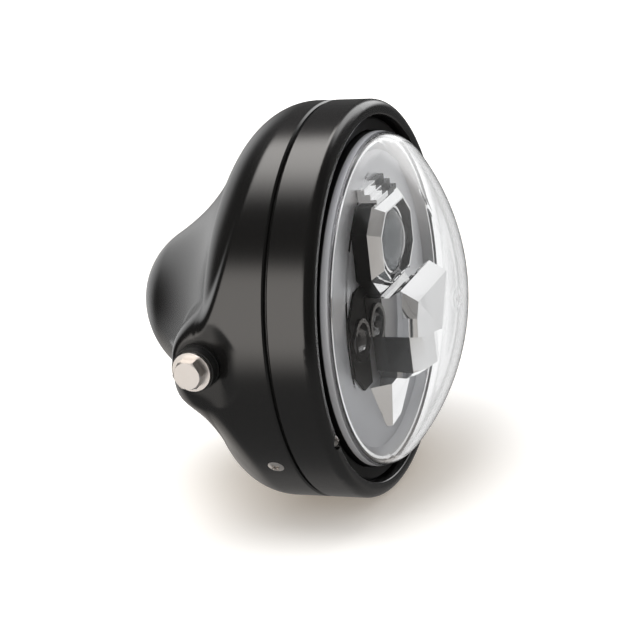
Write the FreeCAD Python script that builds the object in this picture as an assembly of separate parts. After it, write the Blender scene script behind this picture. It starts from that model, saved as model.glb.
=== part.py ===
import FreeCAD
import Part
import math
import os

Vector = FreeCAD.Vector

# Round side-mount motorcycle headlight. Millimetres, +X ahead along the beam, +Y left, +Z up.
# The origin is on the side-bolt axis, where the lamp axis crosses it.

# Bucket, a turned shell: straight wall, shoulder, hollow flank and round nose
SEAM_AHEAD = 36.0        # front edge of the bucket, ahead of the bolt axis
BUCKET_R = 100.0
BUCKET_WALL = 2.0
WALL_LENGTH = 10.0       # straight wall behind the front edge
SHOULDER_R = 29.3
HOLLOW_R = 171.0         # hollow flank, tangent to the shoulder and to the nose
NOSE_R = 41.5
NOSE_BEHIND = 68.4       # rear end of the nose, behind the bolt axis
EDGE_CHAMFER = 0.8

# Ears, where the bucket wall runs on rearward round each side bolt
EAR_INSET = 2.5          # flat pad, inside the bucket's radius
EAR_REACH = 20.0         # behind the bolt
EAR_HALF_HEIGHT = 24.0
EAR_FLARE = 9.1          # the half height grows by the square of the distance ahead, over this length
EAR_ROUND = 9.0          # rolled edge inside the outline
EAR_HOLLOW = 7.0         # hollow blend outside the outline
EAR_RAMP = 18.0          # length over which the wall drops to the pad
SEAT_DEPTH = 0.3
SECTION_POINTS = 72
SECTION_CROWDING = 0.55  # how much closer the points stand at the ears
SECTION_STEPS = 28
NOSE_STEPS = 8
NOSE_LAST_TURN = 88.0    # last section of the nose, in degrees from its equator

# Side bolts with collars, washers and threaded bushes
BOLT_R = 4.0
BOLT_LENGTH = 25.0
HEX_FLATS = 13.0
HEX_HEIGHT = 5.3
HEX_CHAMFER_ANGLE = 30.0
COLLAR_R = 10.6
COLLAR_LENGTH = 6.8
FOOT_RIM = 0.6
FOOT_HEIGHT = 1.7
WASHER_R = 9.6
WASHER_T = 1.6
BUSH_R = 7.0
BUSH_LENGTH = 19.0

# Clearances
THREAD_GAP = 0.05
PRESS_GAP = 0.03
HOLE_GAP = 0.3
SLIDE_GAP = 0.2
OVERCUT = 5.0            # how far a cutting form runs past the face that it cuts

# Trim ring round the front
SEAM_GAP = 1.4
TRIM_FRONT = 24.0        # front of the ring, ahead of the seam
TRIM_WALL = 2.4
TRIM_ROUND = 5.0
LIP_WIDTH = 8.0          # from the outside of the ring to its opening
LIP_ROUND = 1.2
LIP_DEPTH = 9.0
SPIGOT_DEPTH = 7.0       # behind the seam
SPIGOT_FRONT = 6.0       # ahead of the seam
SPIGOT_WALL = 2.3

# Rim fastening: two countersunk screws low on the sides and a hook at the top
RIM_SCREW_ANGLE = 35.0   # below the horizontal, in degrees
RIM_SCREW_BEHIND = 10.0  # behind the seam
RIM_SCREW_R = 2.0
RIM_SCREW_LENGTH = 13.0
RIM_HEAD_R = 4.0
RIM_HEAD_DOME = 0.9
LUG_WIDTH = 16.0
LUG_T = 2.0
LUG_BEHIND_SCREW = 7.0
LUG_FRONT = 4.0          # ahead of the seam
RIM_NUT_FLATS = 7.0
RIM_NUT_HEIGHT = 3.2

# Lip screws that draw the carrier ring against the trim ring
LIP_SCREW_ANGLE = 27.0   # below the horizontal, in degrees
LIP_SCREW_OUT = 1.0      # outside the opening of the ring
LIP_SCREW_R = 2.0
LIP_SCREW_PAST_NUT = 2.0
LIP_HEAD_R = 3.5
LIP_HEAD_HEIGHT = 2.8
LIP_POCKET = 2.4         # depth of the half-round pocket in the lip
LIP_POCKET_GAP = 0.7
LIP_NUT_FLATS = 7.0
LIP_NUT_HEIGHT = 3.0

# Carrier ring behind the insert and retaining ring in front of it
CARRIER_T = 1.5
CARRIER_FIT = 0.4
CARRIER_COLLAR = 4.5
GROOVE = 1.2             # dark gap between the lip and the retaining ring
RETAINER_SKIRT = 1.0
RETAINER_LIP_T = 1.0
RETAINER_LIP_WIDTH = 6.0

# Insert housing, a finned cup
FLANGE_T = 3.0
FLANGE_STEP = 3.0        # from the flange's edge to the neck
NECK_LENGTH = 9.0
CUP_DEPTH = 37.0         # from the back of the flange
CUP_BACK_R = 64.0
CUP_WALL = 4.0
POCKET_WALL = 5.0        # from the flange's edge to the pocket of the dome
LENS_DEPTH = 3.5         # ledge of the dome, behind the back of the flange
PLATE_LEDGE_WIDTH = 4.0
FIN_COUNT = 9
FIN_PITCH = 11.0
FIN_T = 2.2
FIN_LENGTH = 14.0
FIN_INSET = 8.0          # inside the back edge of the cup
FIN_CLEAR = 2.0          # clear ring round the driver cover

# Clear dome
LENS_GAP = 0.6
LENS_T = 2.6
SEAL_T = 1.5
SEAL_WIDTH = 4.4
LENS_SKIRT = 10.0        # straight skirt above the seal
DOME_AHEAD = 47.3        # apex, ahead of the back of the flange
DOME_EDGE_R = 14.0       # rounded edge between the skirt and the crown

# Face plate that carries the optical pieces
PLATE_T = 2.5
PLATE_RISE = 9.5         # front of the plate, ahead of the ledge of the dome
PLATE_RIM_RISE = 5.0     # rim of the plate, ahead of its front
PLATE_RIM_T = 1.4
PLATE_SLOPE = 4.0        # width of the slope that rises to the rim
PLATE_FLANGE_T = 2.0
PLATE_RIM_GAP = 0.4
PLATE_FLANGE_INSET = 4.2 # from the inside of the seal to the pocket of the plate

# Projector in an eight-sided bezel
PROJECTOR_Z = 31.0
BARREL_GAP = 0.3
BARREL_WALL = 5.4
GLASS_R = 15.8
GLASS_RIM = 6.0          # depth of the lens behind its bulge
GLASS_AHEAD = 2.5        # edge of the lens, ahead of the frame
GLASS_BULGE = 5.0
GLASS_STEP = 0.3
RING_WALL = 1.2          # bright ring round the lens
FRAME_LENGTH = 8.0       # ahead of the plate
FRAME_HALF_W = 29.5
FRAME_HALF_H = 21.9
FRAME_CUT = 10.5         # corner cut of the eight-sided outline
FRAME_WALL = 1.2
WING_EDGE = 1.3          # wings of the frame, outside the reflector cups
WING_CUT = 11.0          # their corner cut
WING_T = 1.2
WING_RISE = 6.4          # above the bottom of the frame
WING_DROP = 26.0         # below the middle of the cups
CREST_HALF_W = 23.5
CREST_HALF_H = 18.0
CREST_CUT = 9.5
CREST_HEIGHT = 5.0
CREST_WIDTH = 0.8
THROAT_HEIGHT = 1.5      # foot of the bezel's inner facets, ahead of the frame
BOARD_T = 1.6
CHIP_SIZE = 8.0
CHIP_T = 1.2

# Beak across the middle, block and chin below it, steps above the bezel; reaches are ahead of the plate
BEAK_HALF_W = 24.0
BEAK_GAP = 0.6           # below the frame
BEAK_HEIGHT = 20.0
BEAK_HEEL_GAP = 0.8      # end of the level heel, ahead of the crest of the bezel
BEAK_BROW = 20.0         # highest edge of the top
BEAK_BROW_RISE = 3.8     # above the heel
BEAK_FRONT = 28.5
BEAK_DROP = 1.5          # front edge below the heel
BEAK_UNDERCUT = 2.0
CHEEK_BULGE = 1.6        # ridge of the side facets, outside the flat side
CHEEK_DROP = 9.7         # ridge below the heel
KEEL_AHEAD = 2.5
KEEL_DROP = 4.0
SLOT_COUNT = 4
SLOT_PITCH = 11.0
SLOT_LENGTH = 8.0
SLOT_WIDTH = 2.6
SLOT_DEPTH = 1.2
BLOCK_HALF_W = 16.0
BLOCK_SIDE = 20.4        # end of the straight sides
BLOCK_SIDE_HALF_W = 19.5
BLOCK_CHEEK = 24.5
BLOCK_CHEEK_HALF_W = 13.5
BLOCK_NOSE = 26.5
BLOCK_HEIGHT = 21.5
FOOT_HALF_W = 14.5       # same corners at the foot of the block
FOOT_SIDE = 19.7
FOOT_SIDE_HALF_W = 17.0
FOOT_CHEEK = 25.4
FOOT_CHEEK_HALF_W = 8.0
FOOT_NOSE = 27.0
BELLY_HEIGHT = 5.0       # drawn-in part below the foot
BELLY_TAPER = 0.72
CHIN_HALF_W = 26.0
CHIN_FRONT = 9.0
CHIN_HEIGHT = 28.0
CHIN_TIP_HALF_W = 9.0
CHIN_TIP_FRONT = 2.5
CHIN_NARROWING = 0.75
RAMP_HALF_W = 15.0
RAMP_OVERHANG = 1.6      # front of the lowest step, ahead of the frame
RAMP_STEPS = 3
RAMP_RUN = 3.0
RAMP_RISE = 2.6

# Reflector cups beside the beak
CUP_GAP = 1.0
CUP_Z = -9.0
CUP_R = 10.6
CUP_FLANGE = 1.2         # from the edge of the cup to its neck in the plate
CUP_RIM = 1.0
CUP_FRONT = 2.8          # ahead of the plate
BOWL_DEPTH = 8.0
CUP_FLOOR = 1.5

# Driver cover and terminals behind the housing
COVER_R = 28.0
COVER_HEIGHT = 16.0
COVER_ROUND = 3.0
COVER_SCREW_INSET = 7.0
COVER_SCREW_R = 1.5
COVER_HEAD_R = 2.8
COVER_HEAD_HEIGHT = 1.8
COVER_SCREW_COUNT = 4
TERMINAL_W = 20.0
TERMINAL_H = 16.0
TERMINAL_L = 9.0
BLADE_W = 8.0
BLADE_T = 0.8
BLADE_L = 10.0
BLADE_RISE = 5.0         # level blade, above the middle
BLADE_SPREAD = 6.0       # upright blades, from the middle
BLADE_SINK = 2.0

# Cable grommet, low at the back of the bucket
GROMMET_TURN = 6.0       # past the start of the hollow flank, in degrees
GROMMET_HOLE_R = 7.0
GROMMET_LIP = 3.0
GROMMET_LIP_T = 2.0
GROMMET_GRIP = 2.9
GROMMET_BEVEL = 1.0
GROMMET_DIMPLE_R = 4.0

# Radii worked out from the outside inwards
TRIM_INSIDE = BUCKET_R - TRIM_WALL
SPIGOT_R = BUCKET_R - BUCKET_WALL - SLIDE_GAP
LUG_R = SPIGOT_R - SPIGOT_WALL
LIP_R = BUCKET_R - LIP_WIDTH
LIP_SCREW_PITCH = LIP_R + LIP_SCREW_OUT
RETAINER_R = LIP_R - GROOVE
FLANGE_R = RETAINER_R - RETAINER_SKIRT - SLIDE_GAP
NECK_R = FLANGE_R - FLANGE_STEP
POCKET_R = FLANGE_R - POCKET_WALL
LENS_R = POCKET_R - LENS_GAP
SEAL_IN = POCKET_R - SEAL_WIDTH
PLATE_R = SEAL_IN - PLATE_RIM_GAP
PLATE_POCKET_R = SEAL_IN - PLATE_FLANGE_INSET
BARREL_R = FRAME_HALF_H - FRAME_WALL - BARREL_GAP
FOOT_R = COLLAR_R + FOOT_RIM
RING_R = GLASS_R + RING_WALL
THROAT_R = RING_R + SLIDE_GAP
CUP_NECK_R = CUP_R - CUP_FLANGE

# Places along the lamp axis
SEAM = SEAM_AHEAD
LIP_FRONT = SEAM + TRIM_FRONT
LIP_BACK = LIP_FRONT - LIP_DEPTH
LIP_SEAT = LIP_FRONT - LIP_POCKET
RIM_SCREW_X = SEAM - RIM_SCREW_BEHIND
LUG_BACK = RIM_SCREW_X - LUG_BEHIND_SCREW
FLANGE_FRONT = LIP_BACK + FLANGE_T
LENS_LEDGE = LIP_BACK - LENS_DEPTH
PLATE_FRONT = LENS_LEDGE + PLATE_RISE
PLATE_LEDGE = LENS_LEDGE - PLATE_FLANGE_T
CUP_BACK = LIP_BACK - CUP_DEPTH
CUP_INSIDE = CUP_BACK + CUP_WALL
DOME_APEX = LIP_BACK + DOME_AHEAD
FRAME_FRONT = PLATE_FRONT + FRAME_LENGTH
GLASS_FRONT = FRAME_FRONT + GLASS_AHEAD
GLASS_SEAT = GLASS_FRONT - GLASS_RIM
THROAT = FRAME_FRONT + THROAT_HEIGHT
CREST = FRAME_FRONT + CREST_HEIGHT
COVER_BACK = CUP_BACK - COVER_HEIGHT

# Places across and up
EAR_FACE = BUCKET_R - EAR_INSET
SEAT_Y = EAR_FACE - SEAT_DEPTH
COLLAR_END = SEAT_Y + COLLAR_LENGTH
UNDER_HEAD = COLLAR_END + WASHER_T
BEAK_TOP = PROJECTOR_Z - FRAME_HALF_H - BEAK_GAP
BEAK_BOTTOM = BEAK_TOP - BEAK_HEIGHT
BLOCK_BOTTOM = BEAK_BOTTOM - BLOCK_HEIGHT
BELLY_BOTTOM = BLOCK_BOTTOM - BELLY_HEIGHT
CHIN_BOTTOM = BELLY_BOTTOM - CHIN_HEIGHT
CUP_Y = BEAK_HALF_W + CUP_GAP + CUP_R

AHEAD = Vector(1, 0, 0)
LEFT = Vector(0, 1, 0)
UP = Vector(0, 0, 1)
ORIGIN = Vector(0, 0, 0)


def closed_face(points):
    return Part.Face(Part.makePolygon(points + points[:1]))


def turned(corners):
    """Solid turned about the lamp axis from corners given as (x, radius)."""
    return closed_face([Vector(x, 0, r) for x, r in corners]).revolve(ORIGIN, AHEAD, 360)


def turned_edges(edges):
    """Solid turned about the lamp axis from a closed chain of edges."""
    return Part.Face(Part.Wire(edges)).revolve(ORIGIN, AHEAD, 360)


def line(a, b):
    return Part.makeLine(Vector(a[0], 0, a[1]), Vector(b[0], 0, b[1]))


def on_arc(centre, radius, degrees):
    """Point (x, radius) on an arc, at an angle from ahead towards outward."""
    a = math.radians(degrees)
    return centre[0] + radius * math.cos(a), centre[1] + radius * math.sin(a)


def arc(centre, radius, start, end):
    points = []
    for degrees in (start, (start + end) / 2, end):
        x, r = on_arc(centre, radius, degrees)
        points.append(Vector(x, 0, r))
    return Part.Arc(*points).toShape()


def rod(base, direction, radius, length):
    return Part.makeCylinder(radius, length, base, direction)


def tube(base, direction, inner, outer, length):
    return rod(base, direction, outer, length).cut(rod(base, direction, inner, length))


def hexagon(base, direction, flats, height):
    """Six-sided prism along a level direction, with flats facing up and down."""
    across = direction.cross(UP)
    corner = flats / 2 / math.cos(math.pi / 6)
    points = []
    for i in range(6):
        a = math.pi / 3 * i
        points.append(base + across * (corner * math.cos(a)) + UP * (corner * math.sin(a)))
    return closed_face(points).extrude(direction * height)


def dome_on(base, direction, radius, height):
    """Round cap on a flat base."""
    ball_r = (radius ** 2 + height ** 2) / (2 * height)
    ball = Part.makeSphere(ball_r, base + direction * (height - ball_r))
    return ball.common(rod(base, direction, radius, height + OVERCUT))


def on_low_sides(shape, below):
    """Two copies of a piece made at the top, set right and left, below the horizontal."""
    copies = []
    for degrees in (90 + below, -90 - below):
        copy = shape.copy()
        copy.rotate(ORIGIN, AHEAD, degrees)
        copies.append(copy)
    return copies


def on_both_sides(shape):
    return [shape, shape.mirror(ORIGIN, LEFT)]


def smooth(share):
    """Gentle step from 0 to 1."""
    share = min(max(share, 0.0), 1.0)
    return share * share * (3 - 2 * share)


# Bucket
def bucket_arcs():
    """Centres of the shoulder, hollow and nose arcs, and the two angles where they meet."""
    shoulder = (SEAM - WALL_LENGTH, BUCKET_R - SHOULDER_R)
    nose = (NOSE_R - NOSE_BEHIND, 0.0)
    apart_x = shoulder[0] - nose[0]
    apart_r = shoulder[1] - nose[1]
    apart = math.hypot(apart_x, apart_r)
    from_nose = NOSE_R + HOLLOW_R
    from_shoulder = SHOULDER_R + HOLLOW_R
    along = (from_nose ** 2 - from_shoulder ** 2 + apart ** 2) / (2 * apart)
    aside = math.sqrt(from_nose ** 2 - along ** 2)
    hollow = (nose[0] + (apart_x * along - apart_r * aside) / apart,
              nose[1] + (apart_r * along + apart_x * aside) / apart)
    shoulder_turn = math.degrees(math.atan2(hollow[1] - shoulder[1], hollow[0] - shoulder[0]))
    nose_turn = math.degrees(math.atan2(hollow[1] - nose[1], hollow[0] - nose[0]))
    return shoulder, hollow, nose, shoulder_turn, nose_turn


def bucket_radius(x):
    """Outer radius of the turned form at a place along the axis."""
    shoulder, hollow, nose, shoulder_turn, nose_turn = bucket_arcs()
    if x >= shoulder[0]:
        return BUCKET_R
    if x >= on_arc(shoulder, SHOULDER_R, shoulder_turn)[0]:
        return shoulder[1] + math.sqrt(SHOULDER_R ** 2 - (shoulder[0] - x) ** 2)
    if x >= on_arc(nose, NOSE_R, nose_turn)[0]:
        return hollow[1] - math.sqrt(HOLLOW_R ** 2 - (x - hollow[0]) ** 2)
    return math.sqrt(NOSE_R ** 2 - (x - nose[0]) ** 2)


def ear_share(x, z):
    """How far the wall is drawn out into the ear: 1 on the pad, 0 beyond the hollow blend."""
    if x < 0:
        inside = math.hypot(x / EAR_REACH, z / EAR_HALF_HEIGHT)
        beyond = (inside - 1) * (EAR_REACH + EAR_HALF_HEIGHT) / 2
    else:
        beyond = abs(z) - EAR_HALF_HEIGHT - x * x / EAR_FLARE
    return smooth((EAR_HOLLOW - beyond) / (EAR_ROUND + EAR_HOLLOW))


def shell_radius(x, angle):
    """Outer radius of the bucket with its ears, at an angle from the left side."""
    body = bucket_radius(x)
    ramp = smooth((x - SEAM + WALL_LENGTH + EAR_RAMP) / EAR_RAMP)
    pad = EAR_FACE + EAR_INSET * ramp
    wall = BUCKET_R
    if abs(math.cos(angle)) * BUCKET_R > pad:
        wall = pad / abs(math.cos(angle))
    drawn = max(wall - body, 0.0)
    return body + drawn * ear_share(x, wall * math.sin(angle))


def shell_section(x):
    """Closed smooth section of the bucket across the lamp axis, with points crowded at the ears."""
    points = []
    for i in range(SECTION_POINTS):
        turn = 2 * math.pi * (i + 0.5) / SECTION_POINTS
        angle = turn - SECTION_CROWDING * math.sin(2 * turn) / 2
        r = shell_radius(x, angle)
        points.append(Vector(x, r * math.cos(angle), r * math.sin(angle)))
    curve = Part.BSplineCurve()
    steps = [float(i) for i in range(SECTION_POINTS + 1)]
    curve.interpolate(Points=points, PeriodicFlag=True, Parameters=steps)
    return Part.Wire(curve.toShape())


def shell_outside():
    nose, nose_turn = bucket_arcs()[2::2]
    neck = on_arc(nose, NOSE_R, nose_turn)[0]
    places = [SEAM + (neck - SEAM) * i / SECTION_STEPS for i in range(SECTION_STEPS + 1)]
    last = 90 + NOSE_LAST_TURN
    for i in range(1, NOSE_STEPS + 1):
        turn = nose_turn + (last - nose_turn) * i / NOSE_STEPS
        places.append(on_arc(nose, NOSE_R, turn)[0])
    return Part.makeLoft([shell_section(x) for x in places], True, False)


def shell_inside():
    """Turned cavity of the bucket, parallel to its profile."""
    shoulder, hollow, nose, shoulder_turn, nose_turn = bucket_arcs()
    shoulder_r = SHOULDER_R - BUCKET_WALL
    hollow_r = HOLLOW_R + BUCKET_WALL
    nose_r = NOSE_R - BUCKET_WALL
    front = SEAM + OVERCUT
    wall = BUCKET_R - BUCKET_WALL
    edges = [
        line((front, 0), (front, wall)),
        line((front, wall), (shoulder[0], wall)),
        arc(shoulder, shoulder_r, 90, shoulder_turn),
        arc(hollow, hollow_r, shoulder_turn - 180, nose_turn - 180),
        arc(nose, nose_r, nose_turn, 180),
        line((nose[0] - nose_r, 0), (front, 0)),
    ]
    return turned_edges(edges)


def grommet_place():
    """Centre of the grommet on the outer skin, low at the back, and the way out."""
    shoulder, hollow, nose, shoulder_turn, nose_turn = bucket_arcs()
    turn = shoulder_turn - 180 - GROMMET_TURN
    x, r = on_arc(hollow, HOLLOW_R, turn)
    a = math.radians(turn)
    return Vector(x, 0, -r), Vector(-math.cos(a), 0, math.sin(a))


def rim_head_cone(gap):
    """Countersunk part of a rim screw's head at the top, or its seat with a gap."""
    depth = RIM_HEAD_R - RIM_SCREW_R
    base = Vector(RIM_SCREW_X, 0, BUCKET_R - depth)
    return Part.makeCone(RIM_SCREW_R + gap, RIM_HEAD_R + gap, depth, base, UP)


def rim_screw_hole():
    hole = rod(Vector(RIM_SCREW_X, 0, LIP_R), UP, RIM_SCREW_R + HOLE_GAP, BUCKET_R - LIP_R)
    mouth = rod(Vector(RIM_SCREW_X, 0, BUCKET_R), UP, RIM_HEAD_R + PRESS_GAP, OVERCUT)
    return hole.fuse(rim_head_cone(PRESS_GAP)).fuse(mouth)


def bucket_shell():
    shell = shell_outside().cut(shell_inside())
    outside = BUCKET_R + OVERCUT
    chamfer = turned([(SEAM - EDGE_CHAMFER, BUCKET_R), (SEAM, BUCKET_R - EDGE_CHAMFER),
                      (SEAM + OVERCUT, BUCKET_R - EDGE_CHAMFER), (SEAM + OVERCUT, outside),
                      (SEAM - EDGE_CHAMFER, outside)])
    seat = rod(Vector(0, SEAT_Y, 0), LEFT, FOOT_R + HOLE_GAP, SEAT_DEPTH + OVERCUT)
    bore = rod(ORIGIN, LEFT, BUSH_R + PRESS_GAP, outside)
    centre, way_out = grommet_place()
    inside = centre - way_out * (BUCKET_WALL + OVERCUT)
    inlet = rod(inside, way_out, GROMMET_HOLE_R, BUCKET_WALL + 2 * OVERCUT)
    cuts = [chamfer, inlet] + on_both_sides(seat) + on_both_sides(bore)
    for cut in cuts + on_low_sides(rim_screw_hole(), RIM_SCREW_ANGLE):
        shell = shell.cut(cut)
    return shell


def cable_grommet():
    """Closed grommet, turned upright and then set in its hole."""
    neck = GROMMET_HOLE_R - PRESS_GAP
    lip = GROMMET_HOLE_R + GROMMET_LIP
    low = -(BUCKET_WALL + GROMMET_GRIP) / 2
    high = low + GROMMET_GRIP
    corners = [(0, low - GROMMET_LIP_T), (lip - GROMMET_BEVEL, low - GROMMET_LIP_T), (lip, low), (neck, low),
               (neck, high), (lip, high), (lip - GROMMET_BEVEL, high + GROMMET_LIP_T),
               (GROMMET_DIMPLE_R + GROMMET_BEVEL, high + GROMMET_LIP_T), (GROMMET_DIMPLE_R, high), (0, high)]
    grommet = closed_face([Vector(r, 0, z) for r, z in corners]).revolve(ORIGIN, UP, 360)
    centre, way_out = grommet_place()
    grommet.Placement = FreeCAD.Placement(centre, FreeCAD.Rotation(UP, way_out))
    return grommet


# Side fastening
def side_bushes():
    bush = tube(Vector(0, SEAT_Y - BUSH_LENGTH, 0), LEFT, BOLT_R + THREAD_GAP, BUSH_R, BUSH_LENGTH)
    return Part.makeCompound(on_both_sides(bush))


def side_collars():
    seat = Vector(0, SEAT_Y, 0)
    collar = rod(seat, LEFT, FOOT_R, FOOT_HEIGHT).fuse(rod(seat, LEFT, COLLAR_R, COLLAR_LENGTH))
    collar = collar.cut(rod(seat, LEFT, BOLT_R + HOLE_GAP, COLLAR_LENGTH))
    return Part.makeCompound(on_both_sides(collar.removeSplitter()))


def side_washers():
    washer = tube(Vector(0, COLLAR_END, 0), LEFT, BOLT_R + HOLE_GAP, WASHER_R, WASHER_T)
    return Part.makeCompound(on_both_sides(washer))


def side_bolts():
    """Hexagon bolts with the corners of the head turned off."""
    under = Vector(0, UNDER_HEAD, 0)
    flat_r = HEX_FLATS / 2
    slope = math.tan(math.radians(HEX_CHAMFER_ANGLE))
    cone_r = flat_r + HEX_HEIGHT / slope
    head = hexagon(under, LEFT, HEX_FLATS, HEX_HEIGHT)
    head = head.common(Part.makeCone(cone_r, flat_r, HEX_HEIGHT, under, LEFT))
    shank = rod(under - LEFT * BOLT_LENGTH, LEFT, BOLT_R, BOLT_LENGTH)
    return Part.makeCompound(on_both_sides(head.fuse(shank).removeSplitter()))


# Trim ring and its fastening
def trim_ring():
    back = SEAM + SEAM_GAP
    spigot_front = SEAM + SPIGOT_FRONT
    spigot_back = SEAM - SPIGOT_DEPTH
    corners = [(LIP_FRONT - LIP_ROUND, LIP_R), (LIP_BACK, LIP_R), (LIP_BACK, TRIM_INSIDE),
               (spigot_front, TRIM_INSIDE), (spigot_front, LUG_R), (spigot_back, LUG_R),
               (spigot_back, SPIGOT_R), (back, SPIGOT_R), (back, BUCKET_R - EDGE_CHAMFER),
               (back + EDGE_CHAMFER, BUCKET_R), (LIP_FRONT - TRIM_ROUND, BUCKET_R)]
    edges = [line(a, b) for a, b in zip(corners, corners[1:])]
    edges.append(arc((LIP_FRONT - TRIM_ROUND, BUCKET_R - TRIM_ROUND), TRIM_ROUND, 90, 0))
    edges.append(line((LIP_FRONT, BUCKET_R - TRIM_ROUND), (LIP_FRONT, LIP_R + LIP_ROUND)))
    edges.append(arc((LIP_FRONT - LIP_ROUND, LIP_R + LIP_ROUND), LIP_ROUND, 0, -90))
    ring = turned_edges(edges)
    pocket_r = LIP_HEAD_R + LIP_POCKET_GAP
    pocket = rod(Vector(LIP_SEAT, 0, LIP_SCREW_PITCH), AHEAD, pocket_r, LIP_POCKET + OVERCUT)
    hole = rod(Vector(LIP_BACK, 0, LIP_SCREW_PITCH), AHEAD, LIP_SCREW_R + HOLE_GAP, LIP_DEPTH)
    for cut in on_low_sides(pocket.fuse(hole), LIP_SCREW_ANGLE):
        ring = ring.cut(cut)
    return ring


def strip_under_spigot(back, front, outer):
    """Bent strip at the top of the ring, inside the spigot."""
    inner = LUG_R - LUG_T
    ring = turned([(back, inner), (back, outer), (front, outer), (front, inner)])
    return ring.common(Part.makeBox(front - back, LUG_WIDTH, BUCKET_R, Vector(back, -LUG_WIDTH / 2, 0)))


def rim_lugs():
    strip = strip_under_spigot(LUG_BACK, SEAM + LUG_FRONT, LUG_R)
    strip = strip.cut(rod(Vector(RIM_SCREW_X, 0, 0), UP, RIM_SCREW_R + HOLE_GAP, BUCKET_R))
    return Part.makeCompound(on_low_sides(strip, RIM_SCREW_ANGLE))


def rim_hook():
    strip = strip_under_spigot(LUG_BACK, SEAM + LUG_FRONT, LUG_R)
    reach = bucket_radius(LUG_BACK) - BUCKET_WALL - HOLE_GAP
    claw = strip_under_spigot(LUG_BACK, LUG_BACK + LUG_T, reach)
    return strip.fuse(claw).removeSplitter()


def rim_screws():
    head = rim_head_cone(0).fuse(dome_on(Vector(RIM_SCREW_X, 0, BUCKET_R), UP, RIM_HEAD_R, RIM_HEAD_DOME))
    tip = Vector(RIM_SCREW_X, 0, BUCKET_R - RIM_SCREW_LENGTH)
    shank = rod(tip, UP, RIM_SCREW_R, RIM_SCREW_LENGTH)
    return Part.makeCompound(on_low_sides(head.fuse(shank).removeSplitter(), RIM_SCREW_ANGLE))


def rim_nuts():
    half = RIM_NUT_FLATS / 2
    seat = math.sqrt((LUG_R - LUG_T) ** 2 - half ** 2)
    corner = Vector(RIM_SCREW_X - half, -half, seat - RIM_NUT_HEIGHT)
    nut = Part.makeBox(RIM_NUT_FLATS, RIM_NUT_FLATS, RIM_NUT_HEIGHT, corner)
    nut = nut.cut(rod(Vector(RIM_SCREW_X, 0, 0), UP, RIM_SCREW_R + THREAD_GAP, BUCKET_R))
    return Part.makeCompound(on_low_sides(nut, RIM_SCREW_ANGLE))


def lip_screws():
    seat = Vector(LIP_SEAT, 0, LIP_SCREW_PITCH)
    tip_x = LIP_BACK - CARRIER_T - LIP_NUT_HEIGHT - LIP_SCREW_PAST_NUT
    shank = rod(Vector(tip_x, 0, LIP_SCREW_PITCH), AHEAD, LIP_SCREW_R, LIP_SEAT - tip_x)
    screw = dome_on(seat, AHEAD, LIP_HEAD_R, LIP_HEAD_HEIGHT).fuse(shank).removeSplitter()
    return Part.makeCompound(on_low_sides(screw, LIP_SCREW_ANGLE))


def lip_nuts():
    seat = Vector(LIP_BACK - CARRIER_T, 0, LIP_SCREW_PITCH)
    nut = hexagon(seat, -AHEAD, LIP_NUT_FLATS, LIP_NUT_HEIGHT)
    nut = nut.cut(rod(seat, -AHEAD, LIP_SCREW_R + THREAD_GAP, LIP_NUT_HEIGHT))
    return Part.makeCompound(on_low_sides(nut, LIP_SCREW_ANGLE))


def carrier_ring():
    back = LIP_BACK - CARRIER_T
    inner = NECK_R + CARRIER_FIT
    collar = inner + CARRIER_T
    outer = TRIM_INSIDE - SLIDE_GAP
    ring = turned([(LIP_BACK, inner), (LIP_BACK, outer), (back, outer), (back, collar),
                   (back - CARRIER_COLLAR, collar), (back - CARRIER_COLLAR, inner)])
    hole = rod(Vector(back, 0, LIP_SCREW_PITCH), AHEAD, LIP_SCREW_R + HOLE_GAP, CARRIER_T)
    for cut in on_low_sides(hole, LIP_SCREW_ANGLE):
        ring = ring.cut(cut)
    return ring


def retaining_ring():
    inner = FLANGE_R + SLIDE_GAP
    opening = FLANGE_R - RETAINER_LIP_WIDTH + RETAINER_SKIRT + SLIDE_GAP
    front = FLANGE_FRONT + RETAINER_LIP_T
    edges = [
        line((LIP_BACK, inner), (FLANGE_FRONT, inner)),
        line((FLANGE_FRONT, inner), (FLANGE_FRONT, opening)),
        line((FLANGE_FRONT, opening), (front, opening)),
        line((front, opening), (front, RETAINER_R - RETAINER_LIP_T)),
        arc((FLANGE_FRONT, RETAINER_R - RETAINER_LIP_T), RETAINER_LIP_T, 0, 90),
        line((FLANGE_FRONT, RETAINER_R), (LIP_BACK, RETAINER_R)),
        line((LIP_BACK, RETAINER_R), (LIP_BACK, inner)),
    ]
    return turned_edges(edges)


# Insert housing and dome
def lamp_housing():
    cup = turned([(FLANGE_FRONT, POCKET_R), (FLANGE_FRONT, FLANGE_R), (LIP_BACK, FLANGE_R),
                  (LIP_BACK, NECK_R), (LIP_BACK - NECK_LENGTH, NECK_R),
                  (CUP_BACK, CUP_BACK_R), (CUP_BACK, 0), (CUP_INSIDE, 0),
                  (CUP_INSIDE, CUP_BACK_R - CUP_WALL), (PLATE_LEDGE, PLATE_POCKET_R - PLATE_LEDGE_WIDTH),
                  (PLATE_LEDGE, PLATE_POCKET_R), (LENS_LEDGE, PLATE_POCKET_R), (LENS_LEDGE, POCKET_R)])
    fin_back = CUP_BACK - FIN_LENGTH
    fin_r = CUP_BACK_R - FIN_INSET
    ring = tube(Vector(fin_back, 0, 0), AHEAD, COVER_R + FIN_CLEAR, fin_r, FIN_LENGTH)
    first = -FIN_PITCH * (FIN_COUNT - 1) / 2
    for i in range(FIN_COUNT):
        corner = Vector(fin_back, first + FIN_PITCH * i - FIN_T / 2, -fin_r)
        fin = Part.makeBox(FIN_LENGTH, FIN_T, 2 * fin_r, corner)
        cup = cup.fuse(fin.common(ring))
    return cup.removeSplitter()


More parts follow.
